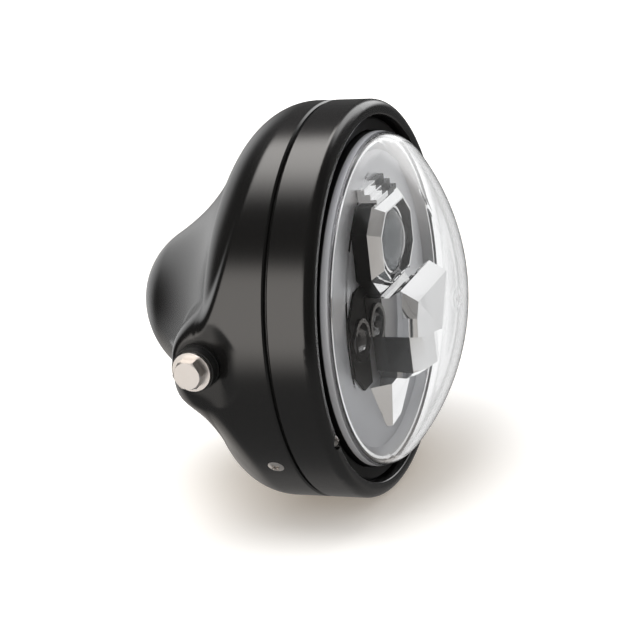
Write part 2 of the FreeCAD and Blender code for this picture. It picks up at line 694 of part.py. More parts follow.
def lens_cover():
    """Dome of one thickness: a straight skirt, a rounded edge, and a flat crown up to the apex."""
    foot = LENS_LEDGE + SEAL_T
    inner_edge = DOME_EDGE_R - LENS_T
    inner_r = LENS_R - LENS_T
    edge = (foot + LENS_SKIRT, LENS_R - DOME_EDGE_R)
    drop = DOME_APEX - edge[0]
    crown_r = (drop ** 2 + edge[1] ** 2 - DOME_EDGE_R ** 2) / (2 * (drop - DOME_EDGE_R))
    crown = (DOME_APEX - crown_r, 0.0)
    turn = math.degrees(math.asin(edge[1] / (crown_r - DOME_EDGE_R)))
    edges = [
        line((DOME_APEX - LENS_T, 0), (DOME_APEX, 0)),
        arc(crown, crown_r, 0, turn),
        arc(edge, DOME_EDGE_R, turn, 90),
        line((edge[0], LENS_R), (foot, LENS_R)),
        line((foot, LENS_R), (foot, inner_r)),
        line((foot, inner_r), (edge[0], inner_r)),
        arc(edge, inner_edge, 90, turn),
        arc(crown, crown_r - LENS_T, turn, 0),
    ]
    return turned_edges(edges)


def lens_seal():
    return tube(Vector(LENS_LEDGE, 0, 0), AHEAD, SEAL_IN, POCKET_R - PRESS_GAP, SEAL_T)


def face_plate():
    """Dished plate with a wall and a thin rim at its edge, and a flange that locates it in the housing."""
    flange = PLATE_POCKET_R - SLIDE_GAP
    wall = flange - PLATE_T
    back = PLATE_FRONT - PLATE_T
    rim_front = PLATE_FRONT + PLATE_RIM_RISE
    rim_in = PLATE_R - PLATE_RIM_T
    plate = turned([(PLATE_LEDGE, wall), (PLATE_LEDGE, flange), (LENS_LEDGE, flange), (LENS_LEDGE, PLATE_R),
                    (rim_front, PLATE_R), (rim_front, rim_in), (PLATE_FRONT, rim_in - PLATE_SLOPE),
                    (PLATE_FRONT, 0), (back, 0), (back, wall)])
    hole = rod(Vector(back, 0, PROJECTOR_Z), AHEAD, BARREL_R + SLIDE_GAP, PLATE_T)
    cup_hole = rod(Vector(back, CUP_Y, CUP_Z), AHEAD, CUP_NECK_R + SLIDE_GAP, PLATE_T)
    for cut in [hole] + on_both_sides(cup_hole):
        plate = plate.cut(cut)
    return plate


# Projector
def eight_sided(x, half_w, half_h, cut):
    """Eight-sided outline across the lamp axis, centred on the projector."""
    side = half_h - cut
    top = half_w - cut
    corners = [(half_w, side), (top, half_h), (-top, half_h), (-half_w, side),
               (-half_w, -side), (-top, -half_h), (top, -half_h), (half_w, -side)]
    points = [Vector(x, y, PROJECTOR_Z + z) for y, z in corners]
    return Part.makePolygon(points + points[:1])


def frame_wing():
    """Thin wing that hangs from the frame beside the beak, with a round hole for the cup."""
    start = BEAK_HALF_W + CUP_GAP
    root = FRAME_HALF_W - FRAME_CUT
    outside = CUP_Y + CUP_R + WING_EDGE
    frame_bottom = PROJECTOR_Z - FRAME_HALF_H
    top = frame_bottom + WING_RISE
    bottom = CUP_Z - WING_DROP
    outline = [(start, bottom), (start, frame_bottom), (root, frame_bottom), (root, top),
               (outside - WING_CUT, top), (outside, top - WING_CUT),
               (outside, bottom + WING_CUT), (outside - WING_CUT, bottom)]
    wing = closed_face([Vector(PLATE_FRONT, y, z) for y, z in outline]).extrude(AHEAD * WING_T)
    return wing.cut(rod(Vector(PLATE_FRONT, CUP_Y, CUP_Z), AHEAD, CUP_R + SLIDE_GAP, WING_T))


def module_frame():
    """Eight-sided tube round the projector, with a thin wing round each reflector cup."""
    outer = eight_sided(PLATE_FRONT, FRAME_HALF_W, FRAME_HALF_H, FRAME_CUT)
    inner = eight_sided(PLATE_FRONT, FRAME_HALF_W - FRAME_WALL, FRAME_HALF_H - FRAME_WALL, FRAME_CUT)
    frame = Part.Face(outer).extrude(AHEAD * FRAME_LENGTH)
    for piece in on_both_sides(frame_wing()):
        frame = frame.fuse(piece)
    return frame.cut(Part.Face(inner).extrude(AHEAD * FRAME_LENGTH)).removeSplitter()


def projector_bezel():
    """Faceted ring that rises from the frame to a crest and falls back to the lens."""
    outer = Part.makeLoft([eight_sided(FRAME_FRONT, FRAME_HALF_W, FRAME_HALF_H, FRAME_CUT),
                           eight_sided(CREST, CREST_HALF_W, CREST_HALF_H, CREST_CUT)], True, True)
    throat = eight_sided(THROAT, THROAT_R, THROAT_R, CREST_CUT)
    mouth = eight_sided(CREST, CREST_HALF_W - CREST_WIDTH, CREST_HALF_H - CREST_WIDTH, CREST_CUT)
    bezel = outer.cut(Part.makeLoft([throat, mouth], True, True))
    return bezel.cut(rod(Vector(FRAME_FRONT, 0, PROJECTOR_Z), AHEAD, THROAT_R, THROAT_HEIGHT))


def projector_barrel():
    base = Vector(CUP_INSIDE, 0, PROJECTOR_Z)
    return tube(base, AHEAD, BARREL_R - BARREL_WALL, BARREL_R, GLASS_SEAT - CUP_INSIDE)


def glass_retainer():
    return tube(Vector(GLASS_SEAT, 0, PROJECTOR_Z), AHEAD, GLASS_R, RING_R, GLASS_RIM)


def projector_glass():
    rim = rod(Vector(GLASS_SEAT, 0, PROJECTOR_Z), AHEAD, GLASS_R - PRESS_GAP, GLASS_RIM)
    bulge = dome_on(Vector(GLASS_FRONT, 0, PROJECTOR_Z), AHEAD, GLASS_R - GLASS_STEP, GLASS_BULGE)
    return rim.fuse(bulge).removeSplitter()


def emitter_board():
    board_r = BARREL_R - BARREL_WALL - SLIDE_GAP
    return rod(Vector(CUP_INSIDE, 0, PROJECTOR_Z), AHEAD, board_r, BOARD_T)


def emitter_chip():
    corner = Vector(CUP_INSIDE + BOARD_T, -CHIP_SIZE / 2, PROJECTOR_Z - CHIP_SIZE / 2)
    return Part.makeBox(CHIP_T, CHIP_SIZE, CHIP_SIZE, corner)


# Faceted pieces on the plate
def prism_across(profile, half_w):
    """Prism from side to side, from corners given as (reach ahead of the plate, z)."""
    points = [Vector(PLATE_FRONT + x, -half_w, z) for x, z in profile]
    return closed_face(points).extrude(LEFT * 2 * half_w)


def plan_at(z, plan):
    """Outline at a height, from corners given as (reach ahead of the plate, y)."""
    points = [Vector(PLATE_FRONT + x, y, z) for x, y in plan]
    return Part.makePolygon(points + points[:1])


def beak_keel():
    """Pyramid on the front of the beak, pointing ahead and down."""
    low_x = PLATE_FRONT + BEAK_FRONT - BEAK_UNDERCUT
    high_x = PLATE_FRONT + BEAK_FRONT
    tip = Vector(high_x + KEEL_AHEAD, 0, BEAK_BOTTOM - KEEL_DROP)
    base = [Vector(low_x, -BEAK_HALF_W, BEAK_BOTTOM), Vector(high_x, -BEAK_HALF_W, BEAK_TOP - BEAK_DROP),
            Vector(high_x, BEAK_HALF_W, BEAK_TOP - BEAK_DROP), Vector(low_x, BEAK_HALF_W, BEAK_BOTTOM)]
    faces = [closed_face(base)]
    for a, b in zip(base, base[1:] + base[:1]):
        faces.append(closed_face([a, b, tip]))
    keel = Part.Solid(Part.Shell(faces))
    if keel.Volume < 0:
        keel.reverse()
    return keel


def beak_cheek():
    """Side facets of the beak's front half, with a ridge that stands out from the flat side."""
    ridge = BEAK_TOP - CHEEK_DROP
    out = BEAK_HALF_W + CHEEK_BULGE
    brow_x = PLATE_FRONT + BEAK_BROW
    high_x = PLATE_FRONT + BEAK_FRONT
    low_x = high_x - BEAK_UNDERCUT
    back = [Vector(brow_x, BEAK_HALF_W, BEAK_TOP + BEAK_BROW_RISE), Vector(brow_x, out, ridge),
            Vector(brow_x, BEAK_HALF_W, BEAK_BOTTOM)]
    front = [Vector(high_x, BEAK_HALF_W, BEAK_TOP - BEAK_DROP), Vector((high_x + low_x) / 2, out, ridge),
             Vector(low_x, BEAK_HALF_W, BEAK_BOTTOM)]
    wires = [Part.makePolygon(points + points[:1]) for points in (back, front)]
    return Part.makeLoft(wires, True, True)


def beak_slots(heel):
    """Row of round-ended slots along the slope between the heel and the brow."""
    run = BEAK_BROW - heel
    tilt = math.atan2(BEAK_BROW_RISE, run)
    middle = Vector(PLATE_FRONT + heel + run / 2, 0, BEAK_TOP + BEAK_BROW_RISE / 2)
    way_out = Vector(-math.sin(tilt), 0, math.cos(tilt))
    straight = SLOT_LENGTH - SLOT_WIDTH
    slots = []
    for i in range(SLOT_COUNT):
        centre = middle + LEFT * (SLOT_PITCH * (i - (SLOT_COUNT - 1) / 2)) - way_out * SLOT_DEPTH
        ends = [centre + LEFT * (straight / 2), centre - LEFT * (straight / 2)]
        rounds = [rod(end, way_out, SLOT_WIDTH / 2, SLOT_DEPTH + OVERCUT) for end in ends]
        corner = Vector(-SLOT_WIDTH / 2, -straight / 2, 0)
        bar = Part.makeBox(SLOT_WIDTH, straight, SLOT_DEPTH + OVERCUT, corner)
        bar.Placement = FreeCAD.Placement(centre, FreeCAD.Rotation(UP, way_out))
        slots.append(bar.fuse(rounds))
    return slots


def centre_beak():
    heel = CREST + BEAK_HEEL_GAP - PLATE_FRONT
    beak = prism_across([(0, BEAK_BOTTOM), (0, BEAK_TOP), (heel, BEAK_TOP),
                         (BEAK_BROW, BEAK_TOP + BEAK_BROW_RISE), (BEAK_FRONT, BEAK_TOP - BEAK_DROP),
                         (BEAK_FRONT - BEAK_UNDERCUT, BEAK_BOTTOM)], BEAK_HALF_W)
    for piece in [beak_keel()] + on_both_sides(beak_cheek()):
        beak = beak.fuse(piece)
    for slot in beak_slots(heel):
        beak = beak.cut(slot)
    return beak.removeSplitter()


def both_halves(half):
    """Outline of a piece from the corners of its right half, given from the plate to the middle."""
    return half + [(x, -y) for x, y in reversed(half) if y]


def lower_block():
    """Faceted block under the beak, drawn in below its foot."""
    top = both_halves([(0, -BLOCK_HALF_W), (BLOCK_SIDE, -BLOCK_SIDE_HALF_W),
                       (BLOCK_CHEEK, -BLOCK_CHEEK_HALF_W), (BLOCK_NOSE, 0)])
    foot = both_halves([(0, -FOOT_HALF_W), (FOOT_SIDE, -FOOT_SIDE_HALF_W),
                        (FOOT_CHEEK, -FOOT_CHEEK_HALF_W), (FOOT_NOSE, 0)])
    belly = [(x * BELLY_TAPER, y * BELLY_TAPER) for x, y in foot]
    sections = [plan_at(BEAK_BOTTOM, top), plan_at(BLOCK_BOTTOM, foot), plan_at(BELLY_BOTTOM, belly)]
    return Part.makeLoft(sections, True, True).cut(beak_keel())


def chin_plan(front, half_w):
    front_half_w = half_w * CHIN_NARROWING
    return [(0, -half_w), (front, -front_half_w), (front, front_half_w), (0, half_w)]


def chin():
    top = plan_at(BELLY_BOTTOM, chin_plan(CHIN_FRONT, CHIN_HALF_W))
    tip = plan_at(CHIN_BOTTOM, chin_plan(CHIN_TIP_FRONT, CHIN_TIP_HALF_W))
    return Part.makeLoft([top, tip], True, True)


def top_ramp():
    """Bright steps that climb from the frame back to the plate."""
    bottom = PROJECTOR_Z + FRAME_HALF_H
    front = FRAME_LENGTH + RAMP_OVERHANG
    profile = [(0, bottom), (front, bottom)]
    for i in range(RAMP_STEPS):
        height = bottom + RAMP_RISE * (i + 1)
        profile += [(front - RAMP_RUN * i, height), (front - RAMP_RUN * (i + 1), height)]
    profile.append((0, bottom + RAMP_RISE * RAMP_STEPS))
    return prism_across(profile, RAMP_HALF_W)


def reflector_cups():
    """Two deep round bowls, each with a neck through the plate and a flange on it."""
    mouth = CUP_NECK_R - CUP_RIM
    ball_r = (mouth ** 2 + BOWL_DEPTH ** 2) / (2 * BOWL_DEPTH)
    floor = CUP_FRONT - BOWL_DEPTH
    base = Vector(PLATE_FRONT, CUP_Y, CUP_Z)
    back = base + AHEAD * (floor - CUP_FLOOR)
    cup = rod(base, AHEAD, CUP_R, CUP_FRONT).fuse(rod(back, AHEAD, CUP_NECK_R, BOWL_DEPTH + CUP_FLOOR))
    bowl = Part.makeSphere(ball_r, base + AHEAD * (floor + ball_r))
    return Part.makeCompound(on_both_sides(cup.cut(bowl).removeSplitter()))


# Back of the insert
def cover_screw_places():
    places = []
    pitch = COVER_R - COVER_SCREW_INSET
    for i in range(COVER_SCREW_COUNT):
        a = 2 * math.pi / COVER_SCREW_COUNT * (i + 0.5)
        places.append(Vector(COVER_BACK, pitch * math.cos(a), pitch * math.sin(a)))
    return places


def driver_cover():
    side = COVER_R - COVER_ROUND
    edges = [
        line((CUP_BACK, 0), (CUP_BACK, COVER_R)),
        line((CUP_BACK, COVER_R), (COVER_BACK + COVER_ROUND, COVER_R)),
        arc((COVER_BACK + COVER_ROUND, side), COVER_ROUND, 90, 180),
        line((COVER_BACK, side), (COVER_BACK, 0)),
        line((COVER_BACK, 0), (CUP_BACK, 0)),
    ]
    cover = turned_edges(edges)
    for place in cover_screw_places():
        cover = cover.cut(rod(place, AHEAD, COVER_SCREW_R + THREAD_GAP, COVER_HEIGHT))
    return cover


def cover_screws():
    screws = []
    for place in cover_screw_places():
        head = dome_on(place, -AHEAD, COVER_HEAD_R, COVER_HEAD_HEIGHT)
        screws.append(head.fuse(rod(place, AHEAD, COVER_SCREW_R, COVER_HEIGHT)).removeSplitter())
    return Part.makeCompound(screws)


def terminal_block():
    corner = Vector(COVER_BACK - TERMINAL_L, -TERMINAL_W / 2, -TERMINAL_H / 2)
    return Part.makeBox(TERMINAL_L, TERMINAL_W, TERMINAL_H, corner)


def terminal_blades():
    """Three flat blades, one level above two upright ones."""
    back = COVER_BACK - TERMINAL_L - BLADE_L
    level = Part.makeBox(BLADE_L, BLADE_W, BLADE_T, Vector(back, -BLADE_W / 2, BLADE_RISE))
    upright = Part.makeBox(BLADE_L, BLADE_T, BLADE_W, Vector(back, BLADE_SPREAD, -BLADE_W / 2 - BLADE_SINK))
    return Part.makeCompound([level] + on_both_sides(upright))


NODES = [
    bucket_shell, cable_grommet, side_bushes, side_collars, side_washers, side_bolts,
    trim_ring, rim_lugs, rim_hook, rim_screws, rim_nuts,
    lip_screws, lip_nuts, carrier_ring, retaining_ring,
    lamp_housing, lens_cover, lens_seal, face_plate,
    module_frame, projector_bezel, projector_barrel, glass_retainer, projector_glass,
    emitter_board, emitter_chip,
    centre_beak, lower_block, chin, top_ramp, reflector_cups,
    driver_cover, cover_screws, terminal_block, terminal_blades,
]

os.makedirs("parts", exist_ok=True)
for make in NODES:
    make().exportStep("parts/" + make.__name__ + ".step")
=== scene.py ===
# %% [markdown]
# # A round motorcycle headlight
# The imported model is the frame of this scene: every body, node and size comes from it. The lamp could be
# drawn again by eye, but then its looks and its solids would drift apart. The box of the plain model is
# kept, because the finished lamp has to stay inside it.

# %% Load the frame
import math

import bpy
from mathutils import Matrix, Vector


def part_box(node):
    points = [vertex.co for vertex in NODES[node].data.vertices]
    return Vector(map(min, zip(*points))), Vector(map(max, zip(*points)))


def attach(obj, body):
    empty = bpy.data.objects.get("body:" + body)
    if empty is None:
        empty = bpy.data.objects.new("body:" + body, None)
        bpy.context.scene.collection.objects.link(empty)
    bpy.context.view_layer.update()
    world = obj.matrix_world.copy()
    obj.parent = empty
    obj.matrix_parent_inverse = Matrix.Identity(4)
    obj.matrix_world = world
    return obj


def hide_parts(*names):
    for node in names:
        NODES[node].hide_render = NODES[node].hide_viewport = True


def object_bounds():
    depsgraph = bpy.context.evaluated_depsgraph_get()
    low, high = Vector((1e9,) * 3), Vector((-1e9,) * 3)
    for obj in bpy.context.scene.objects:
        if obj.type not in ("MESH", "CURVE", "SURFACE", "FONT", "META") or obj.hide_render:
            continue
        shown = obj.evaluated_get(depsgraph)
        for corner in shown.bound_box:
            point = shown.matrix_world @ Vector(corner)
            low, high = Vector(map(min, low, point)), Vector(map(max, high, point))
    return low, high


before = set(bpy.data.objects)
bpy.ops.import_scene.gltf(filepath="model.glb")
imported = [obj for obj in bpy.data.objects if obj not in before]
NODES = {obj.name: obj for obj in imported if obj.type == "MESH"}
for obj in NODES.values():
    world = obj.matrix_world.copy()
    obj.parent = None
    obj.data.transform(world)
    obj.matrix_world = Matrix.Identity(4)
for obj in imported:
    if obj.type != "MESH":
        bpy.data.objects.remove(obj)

CAD_BOX = [list(corner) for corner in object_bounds()]
print("nodes", len(NODES), "box", CAD_BOX)

# %% [markdown]
# The seam between the bucket and the trim ring is a good place to measure from, because it is a clean
# circle in the picture. The places could be typed in, but the boxes of the solids give them, so that
# they follow when a size of the lamp changes.

# %% Places read from the frame
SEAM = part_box("bucket_shell")[1][0]
RIM_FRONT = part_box("trim_ring")[1][0]
RIM_R = round(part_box("trim_ring")[1][2], 4)
FLOOR_Z = CAD_BOX[0][2]
print("seam", round(SEAM, 4), "rim front", round(RIM_FRONT, 4), "rim radius", RIM_R)

# %% [markdown]
# The camera stands in front of the lamp and to its right, a little above it, and looks with a long lens.
# It could be placed by hand in the viewport. Three angles and one pixel describe it exactly instead:
# where it stands, and where the middle of the seam lands in the picture.

# %% Camera
PICTURE = 640.0
CAMERA_AWAY = 1.0
CAMERA_SWING = math.radians(20.85)
CAMERA_LIFT = math.radians(19.5)
CAMERA_ROLL = math.radians(-0.48)
FOCAL_PIXELS = 1974.8
LAMP_PIXEL = (339.8, 298.1)
SENSOR = 36.0


def photo_camera():
    swing, lift = CAMERA_SWING, CAMERA_LIFT
    target = Vector((SEAM, 0, 0))
    towards = Vector((math.sin(swing), -math.cos(swing) * math.cos(lift), math.cos(swing) * math.sin(lift)))
    right = Vector((math.cos(swing), math.sin(swing) * math.cos(lift), -math.sin(swing) * math.sin(lift)))
    up = Vector((0, math.sin(lift), math.cos(lift)))
    right, up = (right * math.cos(CAMERA_ROLL) - up * math.sin(CAMERA_ROLL),
                 right * math.sin(CAMERA_ROLL) + up * math.cos(CAMERA_ROLL))
    aside = PICTURE / 2 - LAMP_PIXEL[0]
    above = LAMP_PIXEL[1] - PICTURE / 2
    ahead = (-towards * FOCAL_PIXELS + right * aside + up * above).normalized()
    right = ahead.cross(up).normalized()
    up = right.cross(ahead)
    turn = Matrix((right, up, -ahead)).transposed().to_4x4()
    data = bpy.data.cameras.new("photo_camera")
    data.sensor_width = SENSOR
    data.lens = FOCAL_PIXELS * SENSOR / PICTURE
    camera = bpy.data.objects.new("photo_camera", data)
    camera.matrix_world = Matrix.Translation(target + towards * CAMERA_AWAY) @ turn
    bpy.context.scene.collection.objects.link(camera)
    bpy.context.scene.camera = camera
    return camera


camera = photo_camera()
print("lens", round(camera.data.lens, 1), "mm")

# %% [markdown]
# A finish is a tree of nodes. It could be wired by hand in the shader editor. Written as sums in Python
# it stays readable, so a small class stands for one socket, and each sum on it adds a Math node. All
# other nodes come from one method.

# %% Shader sums


class Flow:
    """One output socket that takes part in sums."""

    def __init__(self, owner, socket):
        self.owner = owner
        self.socket = socket

    def sum(self, operation, first, second):
        return self.owner.node("ShaderNodeMath", {"operation": operation}, {0: first, 1: second})

    def __add__(self, other):
        return self.sum("ADD", self, other)

    __radd__ = __add__

    def __sub__(self, other):
        return self.sum("SUBTRACT", self, other)

    def __rsub__(self, other):
        return self.sum("SUBTRACT", other, self)

    def __neg__(self):
        return self.sum("SUBTRACT", 0, self)

    def __mul__(self, other):
        return self.sum("MULTIPLY", self, other)

    __rmul__ = __mul__


class NodeTree:
    """A node tree, and the one way in which its nodes are made."""

    def __init__(self, tree):
        self.tree = tree

    def put(self, socket, value):
        if isinstance(value, Flow):
            self.tree.links.new(value.socket, socket)
        else:
            socket.default_value = value

    def node(self, kind, settings=None, sockets=None, out=0):
        made = self.tree.nodes.new(kind)
        for name, value in (settings or {}).items():
            setattr(made, name, value)
        for name, value in (sockets or {}).items():
            self.put(made.inputs[name], value)
        return Flow(self, made.outputs[out])

    def vector(self, operation, first, second=None, out="Vector"):
        sockets = {0: first} if second is None else {0: first, 1: second}
        return self.node("ShaderNodeVectorMath", {"operation": operation}, sockets, out)

    def blend(self, share, first, second):
        return self.node("ShaderNodeMix", {"data_type": "RGBA"}, {0: share, 6: first, 7: second}, out=2)

    def step(self, value, start, end):
        """Gentle step from 0 to 1 as the value goes from start to end."""
        return self.node("ShaderNodeMapRange", {"interpolation_type": "SMOOTHSTEP"},
                         {"Value": value, "From Min": start, "From Max": end})

    def parts(self, vector):
        made = self.node("ShaderNodeSeparateXYZ", None, {0: vector})
        return [Flow(self, socket) for socket in made.socket.node.outputs]


class Paint(NodeTree):
    """One material with its shader."""

    def __init__(self, name):
        self.material = bpy.data.materials.new(name)
        self.material.use_nodes = True
        super().__init__(self.material.node_tree)
        self.shader = self.tree.nodes["Principled BSDF"]

    def set(self, **sockets):
        for name, value in sockets.items():
            self.put(self.shader.inputs[name.replace("_", " ")], value)

    def place(self):
        return self.node("ShaderNodeTexCoord", out="Object")

    def normal(self, kind="Normal"):
        return self.node("ShaderNodeNewGeometry", out=kind)

    def from_axis(self):
        """Distance from the lamp's axis."""
        flat = self.vector("MULTIPLY", self.place(), (0, 1, 1))
        return self.vector("LENGTH", flat, out="Value")

    def noise(self, scale, detail=2.0, rough=0.5, stretch=(1, 1, 1)):
        place = self.node("ShaderNodeMapping", {}, {"Vector": self.place(), "Scale": stretch})
        return self.node("ShaderNodeTexNoise", {}, {"Vector": place, "Scale": scale, "Detail": detail,
                                                    "Roughness": rough})

    def bump(self, height, distance):
        return self.node("ShaderNodeBump", {}, {"Height": height, "Distance": distance})


def grey(level, warm=0.0):
    return (level * (1 + warm), level, level * (1 - warm), 1.0)


print("shader sums ready, a warm grey is", grey(0.5, 0.1))

# %% [markdown]
# The bucket and the trim ring have a satin black powder coat. A plain black would look like a hole in
# the picture. So the coat is nearly black, with a soft shine that comes from a middling roughness, a
# very fine orange-peel skin and a slow change of gloss over the surface.

# %% Satin black coat


def satin_black():
    paint = Paint("satin_black_coat")
    cloud = paint.noise(9.0, 3.0)
    grain = paint.noise(2600.0, 2.0)
    shade = paint.blend(cloud, grey(0.006, 0.04), grey(0.010, 0.04))
    paint.set(Base_Color=shade, Roughness=0.17 + cloud * 0.04 + grain * 0.03, Specular_IOR_Level=0.7,
              Normal=paint.bump(grain, 0.000003))
    return paint.material


BLACK_COAT = satin_black()
print("coat", BLACK_COAT.name)

# %% [markdown]
# Zinc-plated fasteners are bright and a little warm. Turning leaves fine rings, and handling leaves a
# slight cloud in the gloss. Both could be painted as a picture, but noise needs none and fits a screw of
# any size. The other metals and the yellow emitter are clouded in one and the same way.

# %% Zinc, steel, aluminium and brass


def bright_zinc():
    paint = Paint("bright_zinc")
    cloud = paint.noise(120.0, 3.0)
    grain = paint.noise(900.0, 3.0, 0.6, (1, 0.2, 1))
    shade = paint.blend(cloud, (0.80, 0.76, 0.72, 1), (0.90, 0.86, 0.83, 1))
    paint.set(Base_Color=shade, Metallic=1.0, Roughness=0.26 + grain * 0.16,
              Normal=paint.bump(grain, 0.000012))
    return paint.material


def clouded(name, low, high, rough, metal=1.0, depth=0.00002):
    paint = Paint(name)
    cloud = paint.noise(150.0, 4.0)
    paint.set(Base_Color=paint.blend(cloud, low, high), Metallic=metal, Roughness=rough + cloud * 0.12,
              Normal=paint.bump(cloud, depth))
    return paint.material


ZINC = bright_zinc()
DARK_STEEL = clouded("dark_steel", grey(0.05), grey(0.08), 0.45)
CAST_ALUMINIUM = clouded("cast_aluminium", grey(0.36), grey(0.46), 0.42, depth=0.00006)
DARK_BARREL = clouded("dark_barrel", grey(0.10), grey(0.15), 0.45)
BRASS = clouded("brass_blades", (0.62, 0.46, 0.2, 1), (0.72, 0.55, 0.26, 1), 0.25)
EMITTER_YELLOW = clouded("emitter_yellow", (0.8, 0.62, 0.08, 1), (0.86, 0.7, 0.12, 1), 0.35, metal=0.0)
CLOUDED = (ZINC, DARK_STEEL, CAST_ALUMINIUM, DARK_BARREL, BRASS, EMITTER_YELLOW)
print("metals and emitter", [finish.name for finish in CLOUDED])

# %% [markdown]
# Rubber and black plastic are matt. One black would do for all, but then they could not be told from the
# paint, so each has its own grain and roughness. The frame round the projector hardly shines, because it
# lies deep behind the dome.

# %% Rubber and plastic


def matt_black(name, level, rough, scale, depth, shine=0.5):
    paint = Paint(name)
    grain = paint.noise(scale, 3.0, 0.6)
    paint.set(Base_Color=paint.blend(grain, grey(level), grey(level * 1.7)), Roughness=rough + grain * 0.1,
              Normal=paint.bump(grain, depth), Specular_IOR_Level=shine)
    return paint.material


RUBBER = matt_black("rubber", 0.012, 0.75, 500.0, 0.00002)
BLACK_RING = matt_black("black_ring", 0.006, 0.5, 700.0, 0.000006)
BLACK_COLLAR = matt_black("black_collar", 0.007, 0.42, 900.0, 0.00001)
BLACK_PLASTIC = matt_black("black_plastic", 0.004, 0.35, 700.0, 0.00003, shine=0.04)
print("blacks", [black.name for black in (RUBBER, BLACK_RING, BLACK_COLLAR, BLACK_PLASTIC)])

# %% [markdown]
# The dome is clear plastic. It could be a thin see-through sheet, but the shell is as thick as the real
# one, so plain transmission bends the light as it should. The foot of the dome is silvered, so that the
# plate seems to reach the rim, with a black band at the very bottom, painted shade of the gap under the
# lip. The projector's lens is tinted dark, a painted shade for the dark tube behind it.

# %% Clear dome and projector glass
PLATE_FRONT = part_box("face_plate")[1][0]
SKIRT_FADE = 0.0006
FOOT_SHADE_TOP = RIM_FRONT - 0.0018
FOOT_SHADE_FADE = 0.0004
APEX_R = 0.006
PLASTIC_INDEX = 1.45
GLASS_INDEX = 1.5


def clear_shell(name, low, high, index):
    paint = Paint(name)
    haze = paint.noise(14.0, 2.0)
    paint.set(Base_Color=paint.blend(haze, low, high), Roughness=haze * 0.012,
              Transmission_Weight=1.0, IOR=index)
    return paint


def calm_apex(paint):
    """Plain face normals at the apex, where all the triangles of the dome meet in one point."""
    outside = paint.step(paint.from_axis(), APEX_R, APEX_R * 1.5)
    paint.set(Normal=paint.node("ShaderNodeMix", {"data_type": "VECTOR"},
                                {0: outside, 4: paint.normal("True Normal"), 5: paint.normal()}, out=1))


def silver_skirt(paint):
    """Silver on the foot of the dome, up to the plate behind it, and black painted shade on its lowest part.
    """
    along = paint.parts(paint.place())[0]
    cloud = paint.noise(16.0, 2.0)
    shade = paint.blend(cloud, (0.66, 0.67, 0.71, 1), (0.76, 0.765, 0.79, 1))
    # Painted shade: the lowest part of the foot goes near black, for the dark gap under the lip.
    above_foot_shade = paint.step(along, FOOT_SHADE_TOP - FOOT_SHADE_FADE, FOOT_SHADE_TOP + FOOT_SHADE_FADE)
    shade = paint.blend(above_foot_shade, grey(0.004), shade)
    silver = paint.node("ShaderNodeBsdfPrincipled", {},
                        {"Base Color": shade, "Roughness": 0.4, "Metallic": 0.2})
    on_skirt = paint.step(along, PLATE_FRONT, PLATE_FRONT - SKIRT_FADE)
    clear = Flow(paint, paint.shader.outputs[0])
    mixed = paint.node("ShaderNodeMixShader", {}, {0: on_skirt, 1: clear, 2: silver})
    paint.put(paint.tree.nodes["Material Output"].inputs["Surface"], mixed)


CLEAR_DOME = clear_shell("clear_dome", (0.985, 0.99, 0.995, 1), (1, 1, 1, 1), PLASTIC_INDEX)
calm_apex(CLEAR_DOME)
silver_skirt(CLEAR_DOME)
# Painted shade: the lens is tinted dark to stand in for the dark tube behind it.
PAINTED_DARK_LENS = clear_shell("projector_glass", (0.10, 0.11, 0.115, 1), (0.16, 0.165, 0.17, 1), GLASS_INDEX)
print("clear", CLEAR_DOME.material.name, PAINTED_DARK_LENS.material.name)

# %% [markdown]
# Some facets of the real insert look black, because they mirror the dark inside of the lamp. A mirror in
# the scene would have to be aimed for each of them. A mask that paints these dark reflections into the coat,
# by where a facet lies or looks, is simpler, and it holds from other sides too.

# %% Painted dark reflections on the bright parts
BEZEL_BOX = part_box("projector_bezel")
PROJECTOR_Z = (BEZEL_BOX[0][2] + BEZEL_BOX[1][2]) / 2
INWARD = (0.001, 0.003)
SLANTED = (0.62, 0.70)
SIDEWAYS = (0.75, 0.85)
SLANT_SHARE = 0.45
SIDE_SHARE = 0.52
FAR_HALF = (0.0015, 0.002)


# Masks for painted dark reflections and shade: 1 where the bright coat is painted near black.
def bezel_inside(paint):
    """1 on the slopes that look in towards the lens."""
    from_lens = paint.vector("SUBTRACT", paint.place(), (0, 0, PROJECTOR_Z))
    flat = paint.vector("MULTIPLY", from_lens, (0, 1, 1))
    outward = paint.vector("DOT_PRODUCT", flat, paint.normal(), out="Value")
    return paint.step(-outward, *INWARD)


def block_sides(paint):
    """Part way on the slanted facets, and nearly 1 on the side that looks to the camera's left."""
    aside = -paint.parts(paint.normal())[1]
    return paint.step(aside, *SLANTED) * SLANT_SHARE + paint.step(aside, *SIDEWAYS) * SIDE_SHARE


# On the ramp the painted shade lies on its far half.
def ramp_far_half(paint):
    return paint.step(paint.parts(paint.place())[1], *FAR_HALF)


print("projector axis at height", round(PROJECTOR_Z, 4))

# %% [markdown]
# Inside the dome there is plastic with a thin coat of metal. The facets are mirror bright. The wide
# plate is satin, with painted shade that makes it darker towards its bottom, and only its thin outer edge
# is polished, which draws a fine bright line round the insert. The line could be a ring of its own, but on
# the real plate it is the same piece with a smoother edge.

# %% Bright and satin reflector coats
PLATE_EDGE_R = 0.0781
PLATE_EDGE_FADE = 0.0003
PLATE_PAINTED_SHADE = (-0.06, 0.08)


def mirror_coat(name, low, high, painted_dark_reflection=None):
    """Bright coat, with a mask for the places where a dark reflection is painted in."""
    paint = Paint(name)
    cloud = paint.noise(40.0, 2.0)
    shade = paint.blend(cloud, grey(low), grey(high))
    if painted_dark_reflection:
        # Painted dark reflection: the masked places get a near black base colour.
        shade = paint.blend(painted_dark_reflection(paint), shade, grey(0.03))
    paint.set(Base_Color=shade, Metallic=1.0, Roughness=0.03 + cloud * 0.02,
              Normal=paint.bump(cloud, 0.00001))
    return paint.material


